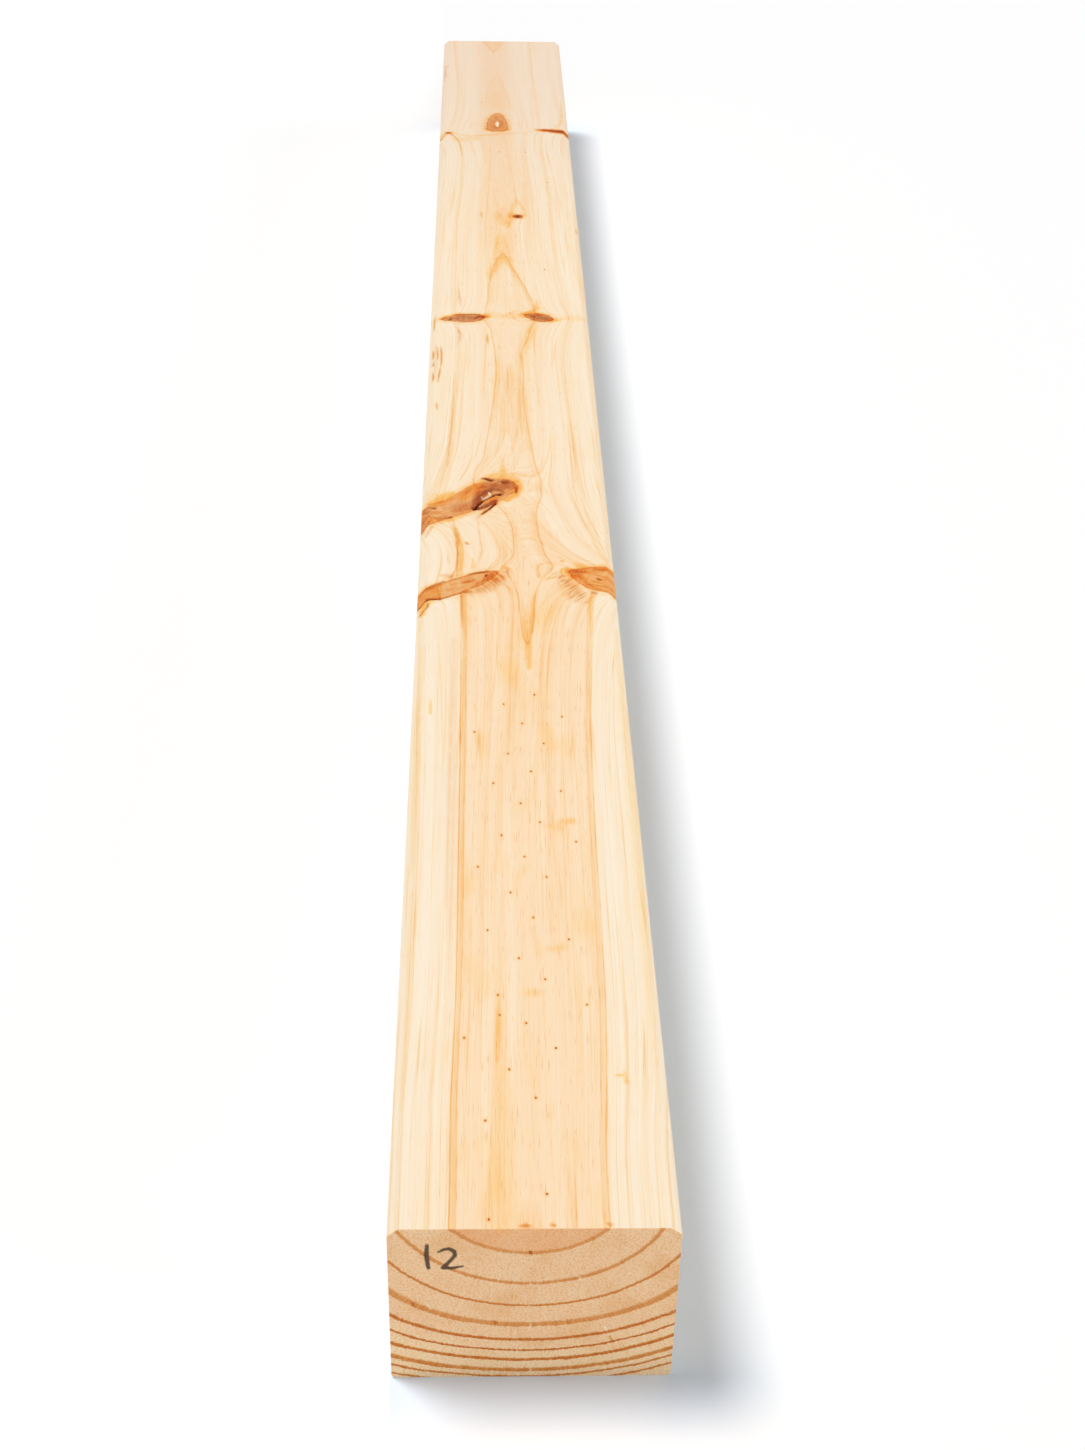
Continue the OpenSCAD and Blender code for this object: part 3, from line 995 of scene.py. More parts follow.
class Recipe:
    """The node tree of one material, with short ways to add and link its nodes."""

    def __init__(self, name: str) -> None:
        """Makes an empty material.

        Args:
            name: The material's name.
        """
        self.material = bpy.data.materials.new(name)
        self.material.use_nodes = True
        self.tree = self.material.node_tree
        self.tree.nodes.clear()

    def node(
        self, kind: str, settings: dict[str, object], sockets: dict[str | int, object]
    ) -> bpy.types.Node:
        """Adds one node.

        Args:
            kind: The node's type.
            settings: Its settings, set first.
            sockets: The value or the link of each input.

        Returns:
            The new node.
        """
        made = self.tree.nodes.new(kind)
        for name, setting in settings.items():
            setattr(made, name, setting)
        for name, value in sockets.items():
            if isinstance(value, Socket):
                self.tree.links.new(value.output, made.inputs[name])
            else:
                made.inputs[name].default_value = value
        return made

    def output(self, made: bpy.types.Node, name: str | int = 0) -> Socket:
        """Wraps one output of a node."""
        return Socket(self, made.outputs[name])

    def maths(self, operation: str, *values: Value) -> Socket:
        """Adds a Math node."""
        return self.output(self.node("ShaderNodeMath", {"operation": operation}, dict(enumerate(values))))

    def vector(self, operation: str, *values: object) -> Socket:
        """Adds a Vector Math node."""
        sockets = dict(enumerate(values))
        return self.output(self.node("ShaderNodeVectorMath", {"operation": operation}, sockets))

    def combine(self, *values: Value) -> Socket:
        """Makes a vector of up to three numbers."""
        return self.output(self.node("ShaderNodeCombineXYZ", {}, dict(enumerate(values))))

    def split(self, vector: Socket) -> tuple[Socket, Socket, Socket]:
        """Takes a vector apart into its three numbers."""
        made = self.node("ShaderNodeSeparateXYZ", {}, {0: vector})
        return self.output(made, 0), self.output(made, 1), self.output(made, 2)

    def coordinates(self) -> Socket:
        """Reads the place on the object, in metres."""
        return self.output(self.node("ShaderNodeTexCoord", {}, {}), "Object")

    def field(self, name: str) -> Socket:
        """Reads an attribute of the mesh that holds a vector."""
        return self.output(self.node("ShaderNodeAttribute", {"attribute_name": name}, {}), "Vector")

    def number(self, name: str) -> Socket:
        """Reads an attribute of the mesh that holds one number."""
        return self.output(self.node("ShaderNodeAttribute", {"attribute_name": name}, {}), "Fac")

    def ease(self, low: float, high: float, value: Socket) -> Socket:
        """Eases from 0 at low to 1 at high."""
        sockets = {"Value": value, "From Min": low, "From Max": high}
        return self.output(self.node("ShaderNodeMapRange", {"interpolation_type": "SMOOTHSTEP"}, sockets))

    def bell(self, middle: float, half: float, value: Socket) -> Socket:
        """Falls from 1 at the middle to 0 at half on both sides of it."""
        return self.ease(half, 0.0, self.maths("ABSOLUTE", value - middle))

    def blend(self, share: Value, base: object, over: object) -> Socket:
        """Lays a share of one colour over another.

        Args:
            share: How much of the upper colour shows.
            base: The lower colour or its link.
            over: The upper colour or its link.

        Returns:
            The resulting colour.
        """
        settings = {"data_type": "RGBA", "blend_type": "MIX", "clamp_factor": True}
        return self.output(self.node("ShaderNodeMix", settings, {0: share, 6: base, 7: over}), 2)

    def stain(self, depth: Value, base: object, tint: Colour) -> Socket:
        """Soaks a clear stain into a colour, so that a thin layer looks brighter and yellower.

        Args:
            depth: How many layers of the stain there are.
            base: The colour or its link.
            tint: The share of red, green and blue that one layer gives back.

        Returns:
            The stained colour.
        """
        layer = self.node("ShaderNodeGamma", {}, {"Color": tint, "Gamma": depth})
        return self.vector("MULTIPLY", base, self.output(layer))

    def grain(self, place: Socket, size: Triple, detail: float, rough: float = 0.5) -> Socket:
        """Adds noise whose features have a given size.

        Args:
            place: Where the noise is read, in millimetres.
            size: The features' size along each axis, in millimetres.
            detail: How many finer layers are added.
            rough: How strong the finer layers are.

        Returns:
            The noise, about 0.5 on average.
        """
        scaled = self.vector("DIVIDE", place, size)
        sockets = {"Vector": scaled, "Scale": 1.0, "Detail": detail, "Roughness": rough}
        return self.output(self.node("ShaderNodeTexNoise", {"normalize": True}, sockets), "Fac")

    def surface(self, shader: bpy.types.Node) -> bpy.types.Material:
        """Ends the tree with a shader and gives the material."""
        self.node("ShaderNodeOutputMaterial", {}, {"Surface": self.output(shader)})
        return self.material


@dataclass(frozen=True)
class PineFinish:
    """Planed bare pine with sawn ends: its colours, how rough it is and where along it the wood changes."""

    sapwood: Colour = linear(254, 237, 212)
    heart: Colour = linear(254, 225, 188)
    bright: Colour = linear(255, 246, 227)
    # Greyer colour of the painted shade that darkens the far half, as if less light fell there
    far_shade: Colour = linear(242, 213, 187)
    honey: Colour = linear(254, 212, 140)
    latewood: Colour = linear(246, 184, 112)
    tan: Colour = linear(226, 150, 84)
    resin: Colour = linear(250, 186, 96)
    blush: Colour = linear(234, 174, 116)
    ember: Colour = linear(220, 126, 50)
    char: Colour = linear(150, 80, 48)
    knot_tan: Colour = linear(230, 158, 95)
    knot_orange: Colour = linear(238, 152, 68)
    torn: Colour = linear(255, 236, 208)
    bark: Colour = linear(92, 44, 26)
    needle: Colour = linear(206, 104, 36)
    end_early: Colour = linear(248, 210, 169)
    end_heart: Colour = linear(246, 193, 145)
    end_bright: Colour = linear(252, 220, 182)
    # Paler colour low on the ends: partly the paler outer rings, partly painted light making up for the
    # shade near the ground
    end_pale_and_painted_light: Colour = linear(255, 230, 190)
    end_late: Colour = linear(198, 106, 38)
    graphite: Colour = linear(84, 64, 50)
    roughness: float = 0.66
    sawn_roughness: float = 0.15
    specular: float = 0.3
    refraction: float = 1.45
    relief: float = 0.25 * MM
    # Distances from the marked end, in millimetres, over which the wood changes
    young: Pair = (470.0, 330.0)
    old: Pair = (735.0, 800.0)
    far: Pair = (800.0, 1100.0)
    # The same from the middle of the plank, over which painted shade darkens the far half as if less light
    # fell there
    far_shade_span: Pair = (150.0, 520.0)
    # How far in from an end a surface still counts as sawn
    sawn_depth: float = 0.3 * MM

    def make(self, timber: Timber, corner: Vector) -> bpy.types.Material:
        """Builds the material.

        Args:
            timber: The wood, for its rings.
            corner: The plank's highest corner, at its plain end, in metres.

        Returns:
            The material.
        """
        return PineRecipe(self, timber, corner).dress()


class PineRecipe(Recipe):
    """The nodes of bare pine, which read the wood's fields from the mesh."""

    def __init__(self, look: PineFinish, timber: Timber, corner: Vector) -> None:
        """Reads the places and fields that the colours and the relief share.

        Args:
            look: The colours, the roughness and where they change.
            timber: The wood, for its rings.
            corner: The plank's highest corner, at its plain end, in metres.
        """
        super().__init__("bare_pine")
        self.look = look
        self.timber = timber
        self.top = corner.z / MM
        metres = self.coordinates()
        self.place = self.vector("DIVIDE", metres, (MM, MM, MM))
        self.sawn = self.maths("ABSOLUTE", self.split(metres)[1]) > corner.y - look.sawn_depth
        self.straight = self.field("grain")
        self.side, self.along, _ = self.split(self.straight)
        self.knot, self.knot_along, self.knot_across = self.split(self.field("knot"))
        self.fine = self.grain(self.straight, (0.8, 60.0, 0.8), 3.0, 0.65)
        self.dashes = self.grain(self.straight, (0.42, 11.0, 0.42), 2.0)
        self.cloud = self.grain(self.straight, (14.0, 45.0, 14.0), 2.0)
        self.young = self.ease(*look.young, self.along)
        self.left = self.ease(5.0, -5.0, self.side)
        rings = self.number("rings") + (self.grain(self.straight, (9.0, 80.0, 9.0), 2.0) - 0.5) * 0.7
        self.rings = rings + (self.grain(self.place, (0.9, 0.9, 0.9), 3.0, 0.6) - 0.5) * 1.3 * self.sawn
        self.sawn_lines = self._ring_lines()

    def dress(self) -> bpy.types.Material:
        """Lays the colours over each other and ends the tree.

        Returns:
            The material.
        """
        colour = self._knot_colour(self._age(self._planed_colour()))
        colour = self._marks(self.blend(self.sawn, colour, self._sawn_colour()))
        sockets = {"Strength": 0.5, "Distance": self.look.relief, "Height": self._relief()}
        bump = self.node("ShaderNodeBump", {}, sockets)
        rough = self.look.roughness + self.grain(self.straight, (1.0, 40.0, 1.0), 2.0) * 0.12
        rough = rough - self.ease(0.6, -0.6, self.knot) * 0.16
        sockets = {
            "Base Color": colour,
            "Roughness": rough + self.sawn * self.look.sawn_roughness,
            "Normal": self.output(bump),
            "IOR": self.look.refraction,
            "Specular IOR Level": self.look.specular,
        }
        return self.surface(self.node("ShaderNodeBsdfPrincipled", {}, sockets))

    def _tone(self, depth: Value, base: Socket, look: Colour, bare: Colour | None = None) -> Socket:
        """Stains wood, so that one layer on its bare colour gives a look.

        Args:
            depth: How many layers of the stain there are.
            base: The colour under the stain.
            look: The wood's colour under one layer.
            bare: Its bare colour, the sapwood's if none is given.

        Returns:
            The stained colour.
        """
        tint = tuple(seen / plain for seen, plain in zip(look, bare or self.look.sapwood))
        return self.stain(depth, base, tint)

    def _ring_lines(self) -> Socket:
        """Draws the latewood of each growth ring on the sawn ends.

        Returns:
            How dark the latewood is, soft on the pith's side and sharp on the other.
        """
        lines: Value = 0.0
        for ring in self.timber.RINGS:
            edge = ring.depth + 0.35 * ring.width
            rise = self.ease(ring.depth - 0.7 * ring.width, ring.depth - 0.2 * ring.width, self.rings)
            fall = self.ease(edge + 0.1, edge - 0.1, self.rings)
            lines = self.maths("MAXIMUM", rise * fall * ring.strength, lines)
        return lines

    def _planed_lines(self, broken: Socket) -> Socket:
        """Draws each growth ring on the planed faces as a faint band between two fine lines.

        Args:
            broken: How clear the fine lines are along the grain.

        Returns:
            How dark the latewood is.
        """
        lines: Value = 0.0
        for ring in self.timber.RINGS:
            band = self.bell(ring.depth - 0.1 * ring.width, 0.9 * ring.width, self.rings) * 0.5
            inner = self.bell(ring.depth - 0.5 * ring.width, 0.3, self.rings) * broken * 1.1
            outer = self.bell(ring.depth + 0.3 * ring.width, 0.34, self.rings) * broken * 1.7
            lines = self.maths("MAXIMUM", (band + inner + outer) * ring.planed, lines)
        return lines

    def _planed_colour(self) -> Socket:
        """Colours the planed faces away from the knots.

        Returns:
            The colour of the heart and the sapwood with their year lines, fibres and clouds.
        """
        colour, heart = self._zones()
        return self._year_lines(self._fibres(colour, heart))

    def _zones(self) -> tuple[Socket, Socket]:
        """Colours the broad zones of heart and sapwood.

        Returns:
            The colour and how much of it is heart.
        """
        look = self.look
        broad = self.grain(self.straight, (6.0, 260.0, 6.0), 3.0)
        old, far = self.ease(*look.old, self.along), self.ease(*look.far, self.along)
        middle = self.ease(16.0, 6.0, self.maths("ABSOLUTE", self.side + (broad - 0.5) * 16.0))
        heart = self.ease(11.0, 10.2, self.rings) * (self.young * 0.55 + 0.3)
        heart = heart + middle * (self.young * -0.15 + 0.4 + old * 0.4)
        heart = heart + self.bell(13.0, 2.2, self.rings) * self.left * self.young * 0.4
        colour = self.blend(heart, look.sapwood, look.heart)
        colour = self.blend(self.ease(0.5, 0.72, broad) * 0.3, colour, look.bright)
        colour = self.blend((1.0 - middle) * far * 0.9, colour, look.bright)
        colour = self._tone(middle * old * 0.05, colour, look.latewood)
        return self._tone(self.ease(0.5, 0.28, broad) * 0.1, colour, look.latewood), heart

    def _fibres(self, colour: Socket, heart: Socket) -> Socket:
        """Lays clouds, fine lines along the years and single fibres over the planed wood.

        Args:
            colour: The colour of the wood's zones.
            heart: How much of it is heart.

        Returns:
            The colour with the fibres.
        """
        look = self.look
        contours = self.combine(self.number("contour"), self.along, 0.0)
        contour = self.grain(contours, (1.5, 420.0, 1.0), 3.0, 0.6)
        years = self.grain(contours, (4.0, 500.0, 1.0), 1.0)
        clouded = self.ease(0.52, 0.74, self.cloud) * (heart * self.young * 0.3 + 0.06)
        colour = self._tone(clouded, colour, look.honey)
        colour = self._tone(self.ease(0.5, 0.7, contour) * 0.07, colour, look.latewood)
        colour = self.blend(self.ease(0.46, 0.34, contour) * 0.1, colour, look.bright)
        clear = self.ease(0.35, 0.65, self.fine)
        colour = self._tone(self.bell(0.52, 0.03, contour) * clear * 0.26, colour, look.latewood)
        colour = self._tone(self.bell(0.5, 0.02, years) * clear * 0.4, colour, look.latewood)
        colour = self._tone(self.ease(0.5, 0.3, self.fine) * (heart * 0.12 + 0.08), colour, look.latewood)
        return self._tone(self.ease(0.6, 0.74, self.dashes) * (heart * 0.22 + 0.1), colour, look.tan)

    def _year_lines(self, colour: Socket) -> Socket:
        """Draws the bare innermost ring and the growth rings over the planed wood.

        Args:
            colour: The colour of the wood.

        Returns:
            The colour with the rings.
        """
        look = self.look
        core = self.number("core") + (self.grain(self.straight, (4.0, 30.0, 4.0), 2.0) - 0.5) * 1.4
        band = self.ease(1.6, 0.2, core) * self.ease(-4.2, -0.6, core)
        colour = self._tone(band * self.ease(0.2, 0.6, self.cloud) * 0.2, colour, look.latewood)
        edge = self.bell(0.2, 0.5, core) * self.ease(0.25, 0.5, self.fine)
        colour = self._tone(edge * 0.5, colour, look.latewood)
        broken = self.ease(0.3, 0.6, self.fine) * 0.7 + self.ease(0.5, 0.65, self.dashes) * 0.4
        lines = self._planed_lines(broken) * (self.ease(0.2, 0.5, self.cloud) * 0.6 + 0.4)
        clearness = (self.young * 0.7 + 0.3) * (self.left * 0.35 + 0.65) * self.ease(0.0, 1.5, self.knot)
        return self._tone(lines * clearness * 0.8, colour, look.latewood)

    def _age(self, colour: Socket) -> Socket:
        """Paints shade over the far half of the plank, darker and greyer towards the plain end as if less
        light fell there.

        Args:
            colour: The wood's colour.

        Returns:
            The colour with the painted shade.
        """
        _, along, _ = self.split(self.place)
        # Painted shade: the far half is greyed and darkened as if less light fell there
        far_shaded = self.blend(0.8, colour, self.look.far_shade)
        return self.blend(self.ease(*self.look.far_shade_span, along) * 0.85, colour, far_shaded)

    def _knot_colour(self, wood: Socket) -> Socket:
        """Lays the branches and the warm wood round them over the planed faces.

        Args:
            wood: The colour of the wood.

        Returns:
            The colour with the knots.
        """
        look = self.look
        warmth, rim, _ = self.split(self.field("knot_kind"))
        gap = self.knot + (self.grain(self.straight, (1.6, 2.6, 1.6), 3.0) - 0.5)
        within = self.combine(self.knot_along, self.knot_across * 4.0, 0.0)
        streaks = self.grain(within, (9.0, 0.7, 1.0), 3.0, 0.6)
        mottle = self.grain(self.straight, (3.0, 4.0, 3.0), 3.0, 0.6)
        inside = self.ease(0.3, -0.3, gap)
        halo = self.ease(4.5, -0.5, gap) * self.ease(0.3, 0.6, mottle) * 0.45
        colour = self._tone(halo * (1.0 - inside), wood, look.resin)
        depth = inside * (0.54 + self.ease(0.45, 0.75, streaks) * 0.6 + (mottle - 0.5) * 0.5)
        tan = self._tone(depth, colour, look.knot_tan)
        tinted = self.blend(warmth, tan, self._tone(depth, colour, look.knot_orange))
        edge = self.bell(-0.3, 0.9, gap) * rim * self.ease(0.3, 0.55, mottle)
        return self._tone(edge * 0.7, tinted, look.ember)

    def _sawn_colour(self) -> Socket:
        """Colours the sawn ends.

        Returns:
            The colour with the year rings, the rays, the fuzz of the saw and a lightening towards the
            bottom, partly the paler outer rings and partly painted light.
        """
        look = self.look
        across, _, height = self.split(self.place)
        turn = (across - self.timber.PITH_LINE.value[0]) / (self.timber.PITH_HEIGHT + self.top - height)
        rays = self.grain(self.combine(turn * 60.0, self.rings, 0.0), (0.7, 7.0, 1.0), 3.0, 0.6)
        cloud = self.grain(self.place, (14.0, 14.0, 14.0), 3.0)
        speck = self.grain(self.place, (0.7, 0.7, 0.7), 2.0, 0.7)
        colour = self.blend(self.ease(11.0, 9.5, self.rings), look.end_early, look.end_heart)
        colour = self.blend(self.ease(0.45, 0.7, cloud) * 0.35, colour, look.end_bright)
        # Lightening towards the bottom of the ends: partly paler outer rings, partly painted light against
        # the shade near the ground
        colour = self.blend(self.ease(48.0, 66.0, self.rings) * 0.7, colour, look.end_pale_and_painted_light)
        late = (look.end_late, look.end_early)
        colour = self._tone(self.ease(0.5, 0.3, cloud) * 0.08, colour, *late)
        colour = self._tone(self.ease(0.6, 0.3, speck) * 0.2, colour, *late)
        colour = self._tone(self.ease(0.55, 0.75, rays) * 0.16, colour, *late)
        colour = self.blend(self.ease(0.45, 0.25, rays) * 0.35, colour, look.end_bright)
        broken = self.ease(0.25, 0.55, speck) * 0.35 + self.ease(0.3, 0.6, rays) * 0.4 + 0.5
        return self._tone(self.sawn_lines * broken, colour, *late)

    def _marks(self, colour: Socket) -> Socket:
        """Lays the resin, the brown shades, the torn fibres, the bark and the pencil over the wood.

        Args:
            colour: The colour of the wood.

        Returns:
            The colour with all marks.
        """
        look = self.look
        patch = self.grain(self.straight, (1.4, 7.0, 1.4), 3.0, 0.6)
        ragged = (self.grain(self.place, (0.8, 0.8, 0.8), 2.0) - 0.5) * 0.6
        hatching = self.ease(0.5, 0.62, self.grain(self.straight, (0.8, 9.0, 0.8), 2.0, 0.6))
        colour = self._tone(self.number(Mark.HATCH.value) * (hatching * 0.65 + 0.14), colour, look.tan)
        thin = self.ease(0.15, 0.6, patch) * 0.8 + 0.2
        for mark in (Mark.RESIN, Mark.BLUSH, Mark.EMBER, Mark.CHAR):
            colour = self._tone(self.number(mark.value) * thin, colour, getattr(look, mark.value))
        needle = self.number("needle") + ragged * 0.3
        colour = self._tone(self.ease(1.1, 0.0, needle) * 0.24, colour, look.resin)
        colour = self._tone(self.ease(0.25, -0.25, needle) * 1.8, colour, look.needle)
        for mark, tint in zip(CRISP, (look.torn, look.bark, look.graphite)):
            gap, strength, _ = self.split(self.field(mark.value))
            share = self.ease(0.3, -0.25, gap + ragged) * strength
            if mark is Mark.BARK:
                soaked = self.ease(0.7, -0.1, gap + ragged) * strength
                colour = self._tone(soaked * 0.6, colour, look.ember)
            colour = self.blend(share * 0.95, colour, tint)
        return colour

    def _relief(self) -> Socket:
        """Works out the height of the fibres on the planed faces and of the saw marks on the ends.

        Returns:
            The height, about 1 at most.
        """
        fibres = self.grain(self.straight, (0.35, 30.0, 0.35), 3.0, 0.6) * 0.35 + self.sawn_lines * 0.15
        teeth = self.grain(self.place, (0.5, 0.5, 0.5), 2.0, 0.7) * 0.8 + self.sawn_lines * 0.9
        return fibres * (1.0 - self.sawn) + teeth * self.sawn


@dataclass
class Plank:
    """The one piece: dressed stock with planed top arrises, eased bottom arrises and two sawn ends."""

    low: Vector
    high: Vector
    timber: Timber
    name: str = "timber_plank"
    chamfer_width: float = 3.6 * MM
    chamfer_drop: float = 2.9 * MM
    eased_radius: float = 1.5 * MM
    eased_steps: int = 4
    arris_softness: float = 0.4 * MM
    arris_steps: int = 2
    cell_across: float = 3.8 * MM
    cells_along: int = 240
    refinements: int = 4
    slack: float = 1.53
    merge_gap: float = 0.002 * MM
    smooth_below: float = math.radians(28)

    def build(self) -> bpy.types.Object:
        """Saws, planes, divides and carves the plank.

        Returns:
            The finished piece.
        """
        self._saw_blank()
        self._plane_chamfers()
        lower = self._lengthwise(self.low.z, self.eased_radius)
        self._bevel_arrises(lower, self.eased_radius, self.eased_steps)
        self._divide()
        self._refine()
        self._carve()
        self._write_fields()
        bpy.ops.object.select_all(action="DESELECT")
        self.piece.select_set(True)
        bpy.ops.object.shade_smooth_by_angle(angle=self.smooth_below)
        self.piece.data.materials.append(PineFinish().make(self.timber, self.high))
        return self.piece

    def _saw_blank(self) -> None:
        """Adds a block of the plank's size and goes into edit mode."""
        bpy.ops.object.select_all(action="DESELECT")
        bpy.ops.mesh.primitive_cube_add(size=1.0, location=(self.low + self.high) / 2)
        self.piece = bpy.context.object
        self.piece.name = self.name
        self.piece.data.name = self.name
        self.piece.scale = self.high - self.low
        bpy.ops.object.transform_apply(location=True, rotation=True, scale=True)
        bpy.ops.object.mode_set(mode="EDIT")

    def _slice(self, point: Vector, normal: Vector, waste: bool = False) -> None:
        """Cuts the whole mesh along a plane, and takes the outer side away where it is waste.

        Args:
            point: A point on the plane.
            normal: The direction that the plane faces.
            waste: Whether the side that it faces is waste.
        """
        bpy.ops.mesh.select_all(action="SELECT")
        plane = {"plane_co": point, "plane_no": normal.normalized(), "threshold": self.merge_gap}
        bpy.ops.mesh.bisect(**plane, use_fill=waste, clear_outer=waste)

    def _pick_edges(self, choice: np.ndarray) -> None:
        """Selects the chosen edges alone and goes back to edit mode.

        Args:
            choice: Whether each edge is chosen.
        """
        bpy.ops.object.mode_set(mode="EDIT")
        bpy.ops.mesh.select_mode(type="EDGE")
        bpy.ops.mesh.select_all(action="DESELECT")
        bpy.ops.object.mode_set(mode="OBJECT")
        self.piece.data.edges.foreach_set("select", choice)
        bpy.ops.object.mode_set(mode="EDIT")

    def _edge_ends(self) -> tuple[np.ndarray, np.ndarray]:
        """Leaves edit mode and gives the two ends of every edge.

        Returns:
            The places of the first and of the second ends, in metres.
        """
        bpy.ops.object.mode_set(mode="OBJECT")
        places = self._places()
        pairs = np.empty(len(self.piece.data.edges) * 2, np.int32)
        self.piece.data.edges.foreach_get("vertices", pairs)
        return places[pairs[0::2]], places[pairs[1::2]]

    def _lengthwise(self, height: float, reach: float) -> np.ndarray:
        """Finds the edges that run along the whole plank near a height.

        Args:
            height: The height, in metres.
            reach: How far from it an edge may lie.

        Returns:
            Whether each edge is one of them.
        """
        first, second = self._edge_ends()
        return (np.abs(first[:, 1] - second[:, 1]) > self.high.y) & (np.abs(first[:, 2] - height) < reach)

    def _places(self) -> np.ndarray:
        """Gives the place of every vertex, in metres.

        Returns:
            One row for each vertex.
        """
        places = np.empty(len(self.piece.data.vertices) * 3)
        self.piece.data.vertices.foreach_get("co", places)
        return places.reshape(-1, 3)

    def _wood_places(self, places: np.ndarray) -> np.ndarray:
        """Turns places in metres into the wood's own millimetres."""
        return (places - np.array([0.0, self.low.y, self.high.z])) / MM

    def _plane_chamfers(self) -> None:
        """Planes both top arrises and softens the new edges."""
        for side, x in ((-1.0, self.low.x), (1.0, self.high.x)):
            point = Vector((x, 0.0, self.high.z - self.chamfer_drop))
            self._slice(point, Vector((side * self.chamfer_drop, 0.0, self.chamfer_width)), waste=True)
        upper = self._lengthwise(self.high.z, 2 * self.chamfer_drop)
        self._bevel_arrises(upper, self.arris_softness, self.arris_steps)

    def _bevel_arrises(self, choice: np.ndarray, radius: float, steps: int) -> None:
        """Rounds the chosen edges.

        Args:
            choice: Whether each edge is chosen.
            radius: How far the rounding reaches from an edge.
            steps: How many faces it has.
        """
        self._pick_edges(choice)
        bpy.ops.mesh.bevel(offset=radius, segments=steps, profile=0.5, affect="EDGES")

    def _divide(self) -> None:
        """Divides every face into cells, first across the section and then along the grain."""
        for axis in (0, 2):
            normal = Vector((0.0, 0.0, 0.0))
            normal[axis] = 1.0
            inset = self.chamfer_width + self.arris_softness
            start = self.low[axis] + inset
            end = self.high[axis] - inset
            cells = round((end - start) / self.cell_across)
            for step in range(cells + 1):
                self._slice(normal * (start + (end - start) * step / cells), normal)
        self._pick_edges(self._lengthwise(0.0, math.inf))
        bpy.ops.mesh.subdivide(number_cuts=self.cells_along - 1)

    def _refine(self) -> None:
        """Divides the cells again wherever the wood has detail that they are too coarse for."""
        for _ in range(self.refinements):
            first, second = self._edge_ends()
            wanted = self.timber.cell_size(self._wood_places((first + second) / 2))
            length = np.linalg.norm(first - second, axis=1) / MM
            self._pick_edges(length > self.slack * wanted)
            bpy.ops.mesh.subdivide(number_cuts=1, quadcorner="INNERVERT")
        bpy.ops.object.mode_set(mode="OBJECT")

    def _carve(self) -> None:
        """Moves the surface inwards in the torn hollow, the seams and the checks."""
        mesh = self.piece.data
        normals = np.empty(len(mesh.vertices) * 3)
        mesh.vertex_normals.foreach_get("vector", normals)
        places = self._places()
        sunk = self.timber.sink(self._wood_places(places))
        moved = places - normals.reshape(-1, 3) * sunk[:, None] * MM
        moved = np.clip(moved, np.array(self.low), np.array(self.high))
        mesh.vertices.foreach_set("co", moved.ravel())
        mesh.update()

    def _write_fields(self) -> None:
        """Writes what the finish reads at each vertex: rings, grain, branches and marks."""
        timber = self.timber
        points = self._wood_places(self._places())
        branch = timber.nearest_branch(points)
        rings = timber.ring_depth(points)
        zeros = np.zeros(len(points))
        numbers = {
            "rings": rings,
            "core": timber.core_gap(points),
            "contour": rings - 0.6 * timber.branch_pull(points) * np.sign(points[:, 0]),
            "needle": timber.needle_gap(points),
        }
        vectors = {
            "grain": timber.grain_place(points),
            "knot": np.stack([branch["gap"], branch["along"], branch["across"]], 1),
            "knot_kind": np.stack([branch["warmth"], branch["rim"], zeros], 1),
        }
        for mark in SOFT:
            numbers[mark.value] = timber.soft_marks(mark, points)
        for mark in CRISP:
            vectors[mark.value] = np.stack([*timber.crisp_marks(mark, points), zeros], 1)
        for fields, kind, slot in ((vectors, "FLOAT_VECTOR", "vector"), (numbers, "FLOAT", "value")):
            for name, values in fields.items():
                layer = self.piece.data.attributes.new(name, kind, "POINT")
                layer.data.foreach_set(slot, values.ravel())


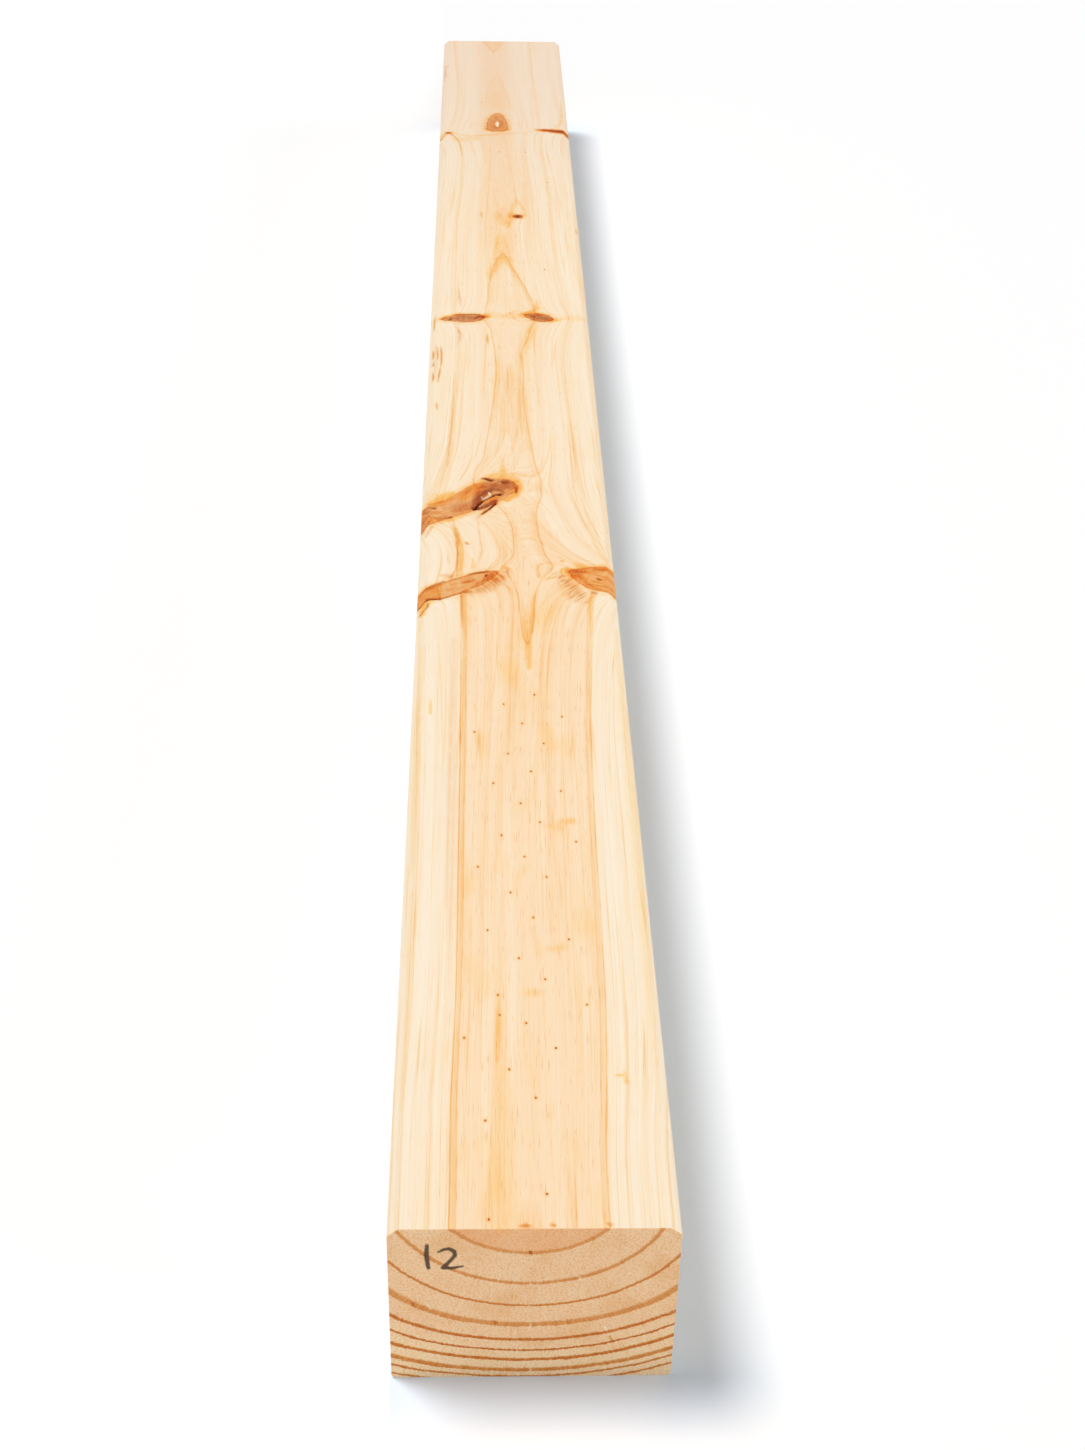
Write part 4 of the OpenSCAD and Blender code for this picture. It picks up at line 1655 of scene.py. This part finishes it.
@dataclass
class Ground:
    """The white ground under the plank, with painted tints beside it that cancel the wood's warm bounced
    light and a lamp's faint shadow.
    """

    level: float
    plank_half_width: float
    plank_half_length: float
    half_size: float = 6.0
    # Reach and shape of the painted cool tint that cancels the warm light the wood throws on the paper
    cool_reach: float = 54.0 * MM
    end_narrowing: float = 1.6
    lit_side: float = 0.6
    # The painted cool tint
    cool: Colour = (0.75, 0.855, 0.99, 1.0)
    grey: Colour = (0.92, 0.92, 0.92, 1.0)
    # Painted light: lighter paper left of the plank that hides the faint shadow the right lamp casts there,
    # and how far it fades in
    painted_light_grey: Colour = (0.97, 0.97, 0.97, 1.0)
    painted_light_fade: float = 30.0 * MM
    lift: float = 0.07

    def build(self) -> bpy.types.Object:
        """Lays the ground.

        Returns:
            The floor.
        """
        bpy.ops.object.select_all(action="DESELECT")
        bpy.ops.mesh.primitive_plane_add(size=2 * self.half_size, location=(0.0, 0.0, self.level))
        floor = bpy.context.object
        floor.name = "ground"
        bpy.ops.object.transform_apply(location=True, rotation=True, scale=True)
        floor.data.materials.append(self._paper())
        return floor

    def _paper(self) -> bpy.types.Material:
        """Makes white paper that keeps the shadow: grey paper with a lift that only the camera sees.

        Returns:
            The paper, painted a little cooler beside the plank to cancel the warm light that the wood
            throws on it, and painted lighter left of the plank to hide the faint shadow of the right lamp.
        """
        mix = Recipe("white_paper")
        across, along, _ = mix.split(mix.coordinates())
        beside = mix.maths("MAXIMUM", mix.maths("ABSOLUTE", across) - self.plank_half_width, 0.0)
        before = mix.maths("MAXIMUM", mix.maths("ABSOLUTE", along) - self.plank_half_length, 0.0)
        before = before * self.end_narrowing
        near = mix.maths("SQRT", beside * beside + before * before)
        lit = mix.ease(-self.plank_half_width, -self.plank_half_width - MM, across)
        # Painted light left of the plank, hiding the faint shadow of the right lamp
        left = mix.ease(-self.plank_half_width, -self.plank_half_width - self.painted_light_fade, across)
        # Painted cool tint beside and before the plank, weaker on its left side, cancelling the warm light
        # bounced from the wood
        share = mix.ease(self.cool_reach, 0.0, near) * (1.0 - lit * self.lit_side)
        colour = mix.blend(share, mix.blend(left, self.grey, self.painted_light_grey), self.cool)
        paper = mix.output(mix.node("ShaderNodeBsdfDiffuse", {}, {"Color": colour}))
        glow = mix.output(mix.node("ShaderNodeEmission", {}, {"Strength": self.lift}))
        both = mix.output(mix.node("ShaderNodeAddShader", {}, {0: paper, 1: glow}))
        seen = mix.output(mix.node("ShaderNodeLightPath", {}, {}), "Is Camera Ray")
        return mix.surface(mix.node("ShaderNodeMixShader", {}, {0: seen, 1: paper, 2: both}))


@dataclass(frozen=True)
class Lamp:
    """One distant broad lamp: its name, the direction its light travels in, its strength and spread."""

    name: str
    travel: Triple
    strength: float
    spread: float

    def hang(self) -> None:
        """Adds the lamp to the scene."""
        light = bpy.data.lights.new(self.name, "SUN")
        light.energy = self.strength
        light.angle = self.spread
        holder = bpy.data.objects.new(self.name, light)
        holder.rotation_euler = Vector(self.travel).to_track_quat("-Z", "Y").to_euler()
        holder.location = Vector(self.travel) * -2.0
        bpy.context.collection.objects.link(holder)


@dataclass
class Studio:
    """Plain soft light: an even white sky, a broad lamp nearly overhead and weak ones round it."""

    sky_strength: float = 0.2
    overhead: Lamp = Lamp("overhead_lamp", (0.37, -0.19, -1.0), 2.2, math.radians(20))
    front: Lamp = Lamp("front_lamp", (-0.25, 1.0, -0.33), 0.86, math.radians(60))
    right: Lamp = Lamp("right_lamp", (-1.0, 0.2, -0.15), 1.25, math.radians(40))

    def build(self) -> None:
        """Lights the sky and hangs the lamps."""
        world = bpy.data.worlds.new("soft_sky")
        world.use_nodes = True
        sky = world.node_tree.nodes["Background"]
        sky.inputs["Color"].default_value = (1.0, 1.0, 1.0, 1.0)
        sky.inputs["Strength"].default_value = self.sky_strength
        bpy.context.scene.world = world
        for lamp in (self.overhead, self.front, self.right):
            lamp.hang()


@dataclass
class Viewpoint:
    """The camera: where it stands, how it is turned and what it takes in."""

    place: Triple = (-17.41 * MM, -1016.9 * MM, 549.24 * MM)
    yaw: float = math.radians(-2.203)
    pitch: float = math.radians(35.041)
    roll: float = math.radians(1.37)
    focal_pixels: float = 2036.35
    sensor: float = 36.0
    nearest: float = 0.05
    farthest: float = 50.0

    def build(self) -> None:
        """Sets the camera up."""
        camera = bpy.data.cameras.new("camera")
        camera.sensor_width = self.sensor
        camera.lens = self.focal_pixels / max(PHOTO_WIDTH, PHOTO_HEIGHT) * self.sensor
        camera.clip_start = self.nearest
        camera.clip_end = self.farthest
        holder = bpy.data.objects.new("camera", camera)
        level = math.cos(self.pitch)
        forward = Vector((-math.sin(self.yaw) * level, math.cos(self.yaw) * level, -math.sin(self.pitch)))
        right = Vector((math.cos(self.yaw), math.sin(self.yaw), 0.0))
        up = right.cross(forward)
        turned_right = math.cos(self.roll) * right + math.sin(self.roll) * up
        turned_up = math.cos(self.roll) * up - math.sin(self.roll) * right
        turn = Matrix((turned_right, turned_up, -forward)).transposed()
        holder.matrix_world = Matrix.Translation(self.place) @ turn.to_4x4()
        bpy.context.collection.objects.link(holder)
        bpy.context.scene.camera = holder


def main() -> None:
    """Builds the plank, the ground, the light and the camera, and reports each piece."""
    logging.basicConfig(level=logging.INFO, format="%(name)s: %(message)s")
    bpy.context.scene.view_settings.view_transform = "Standard"
    Viewpoint().build()
    low, high = (Vector(corner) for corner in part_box("plank"))
    plank = Plank(low, high, Timber()).build()
    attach(plank, "root")
    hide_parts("plank")
    LOG.info("%s: %d vertices, %d faces", plank.name, len(plank.data.vertices), len(plank.data.polygons))
    floor = Ground(low.z, high.x, high.y).build()
    LOG.info("%s: %.1f m across", floor.name, floor.dimensions.x)
    Studio().build()


if __name__ == "__main__":
    main()
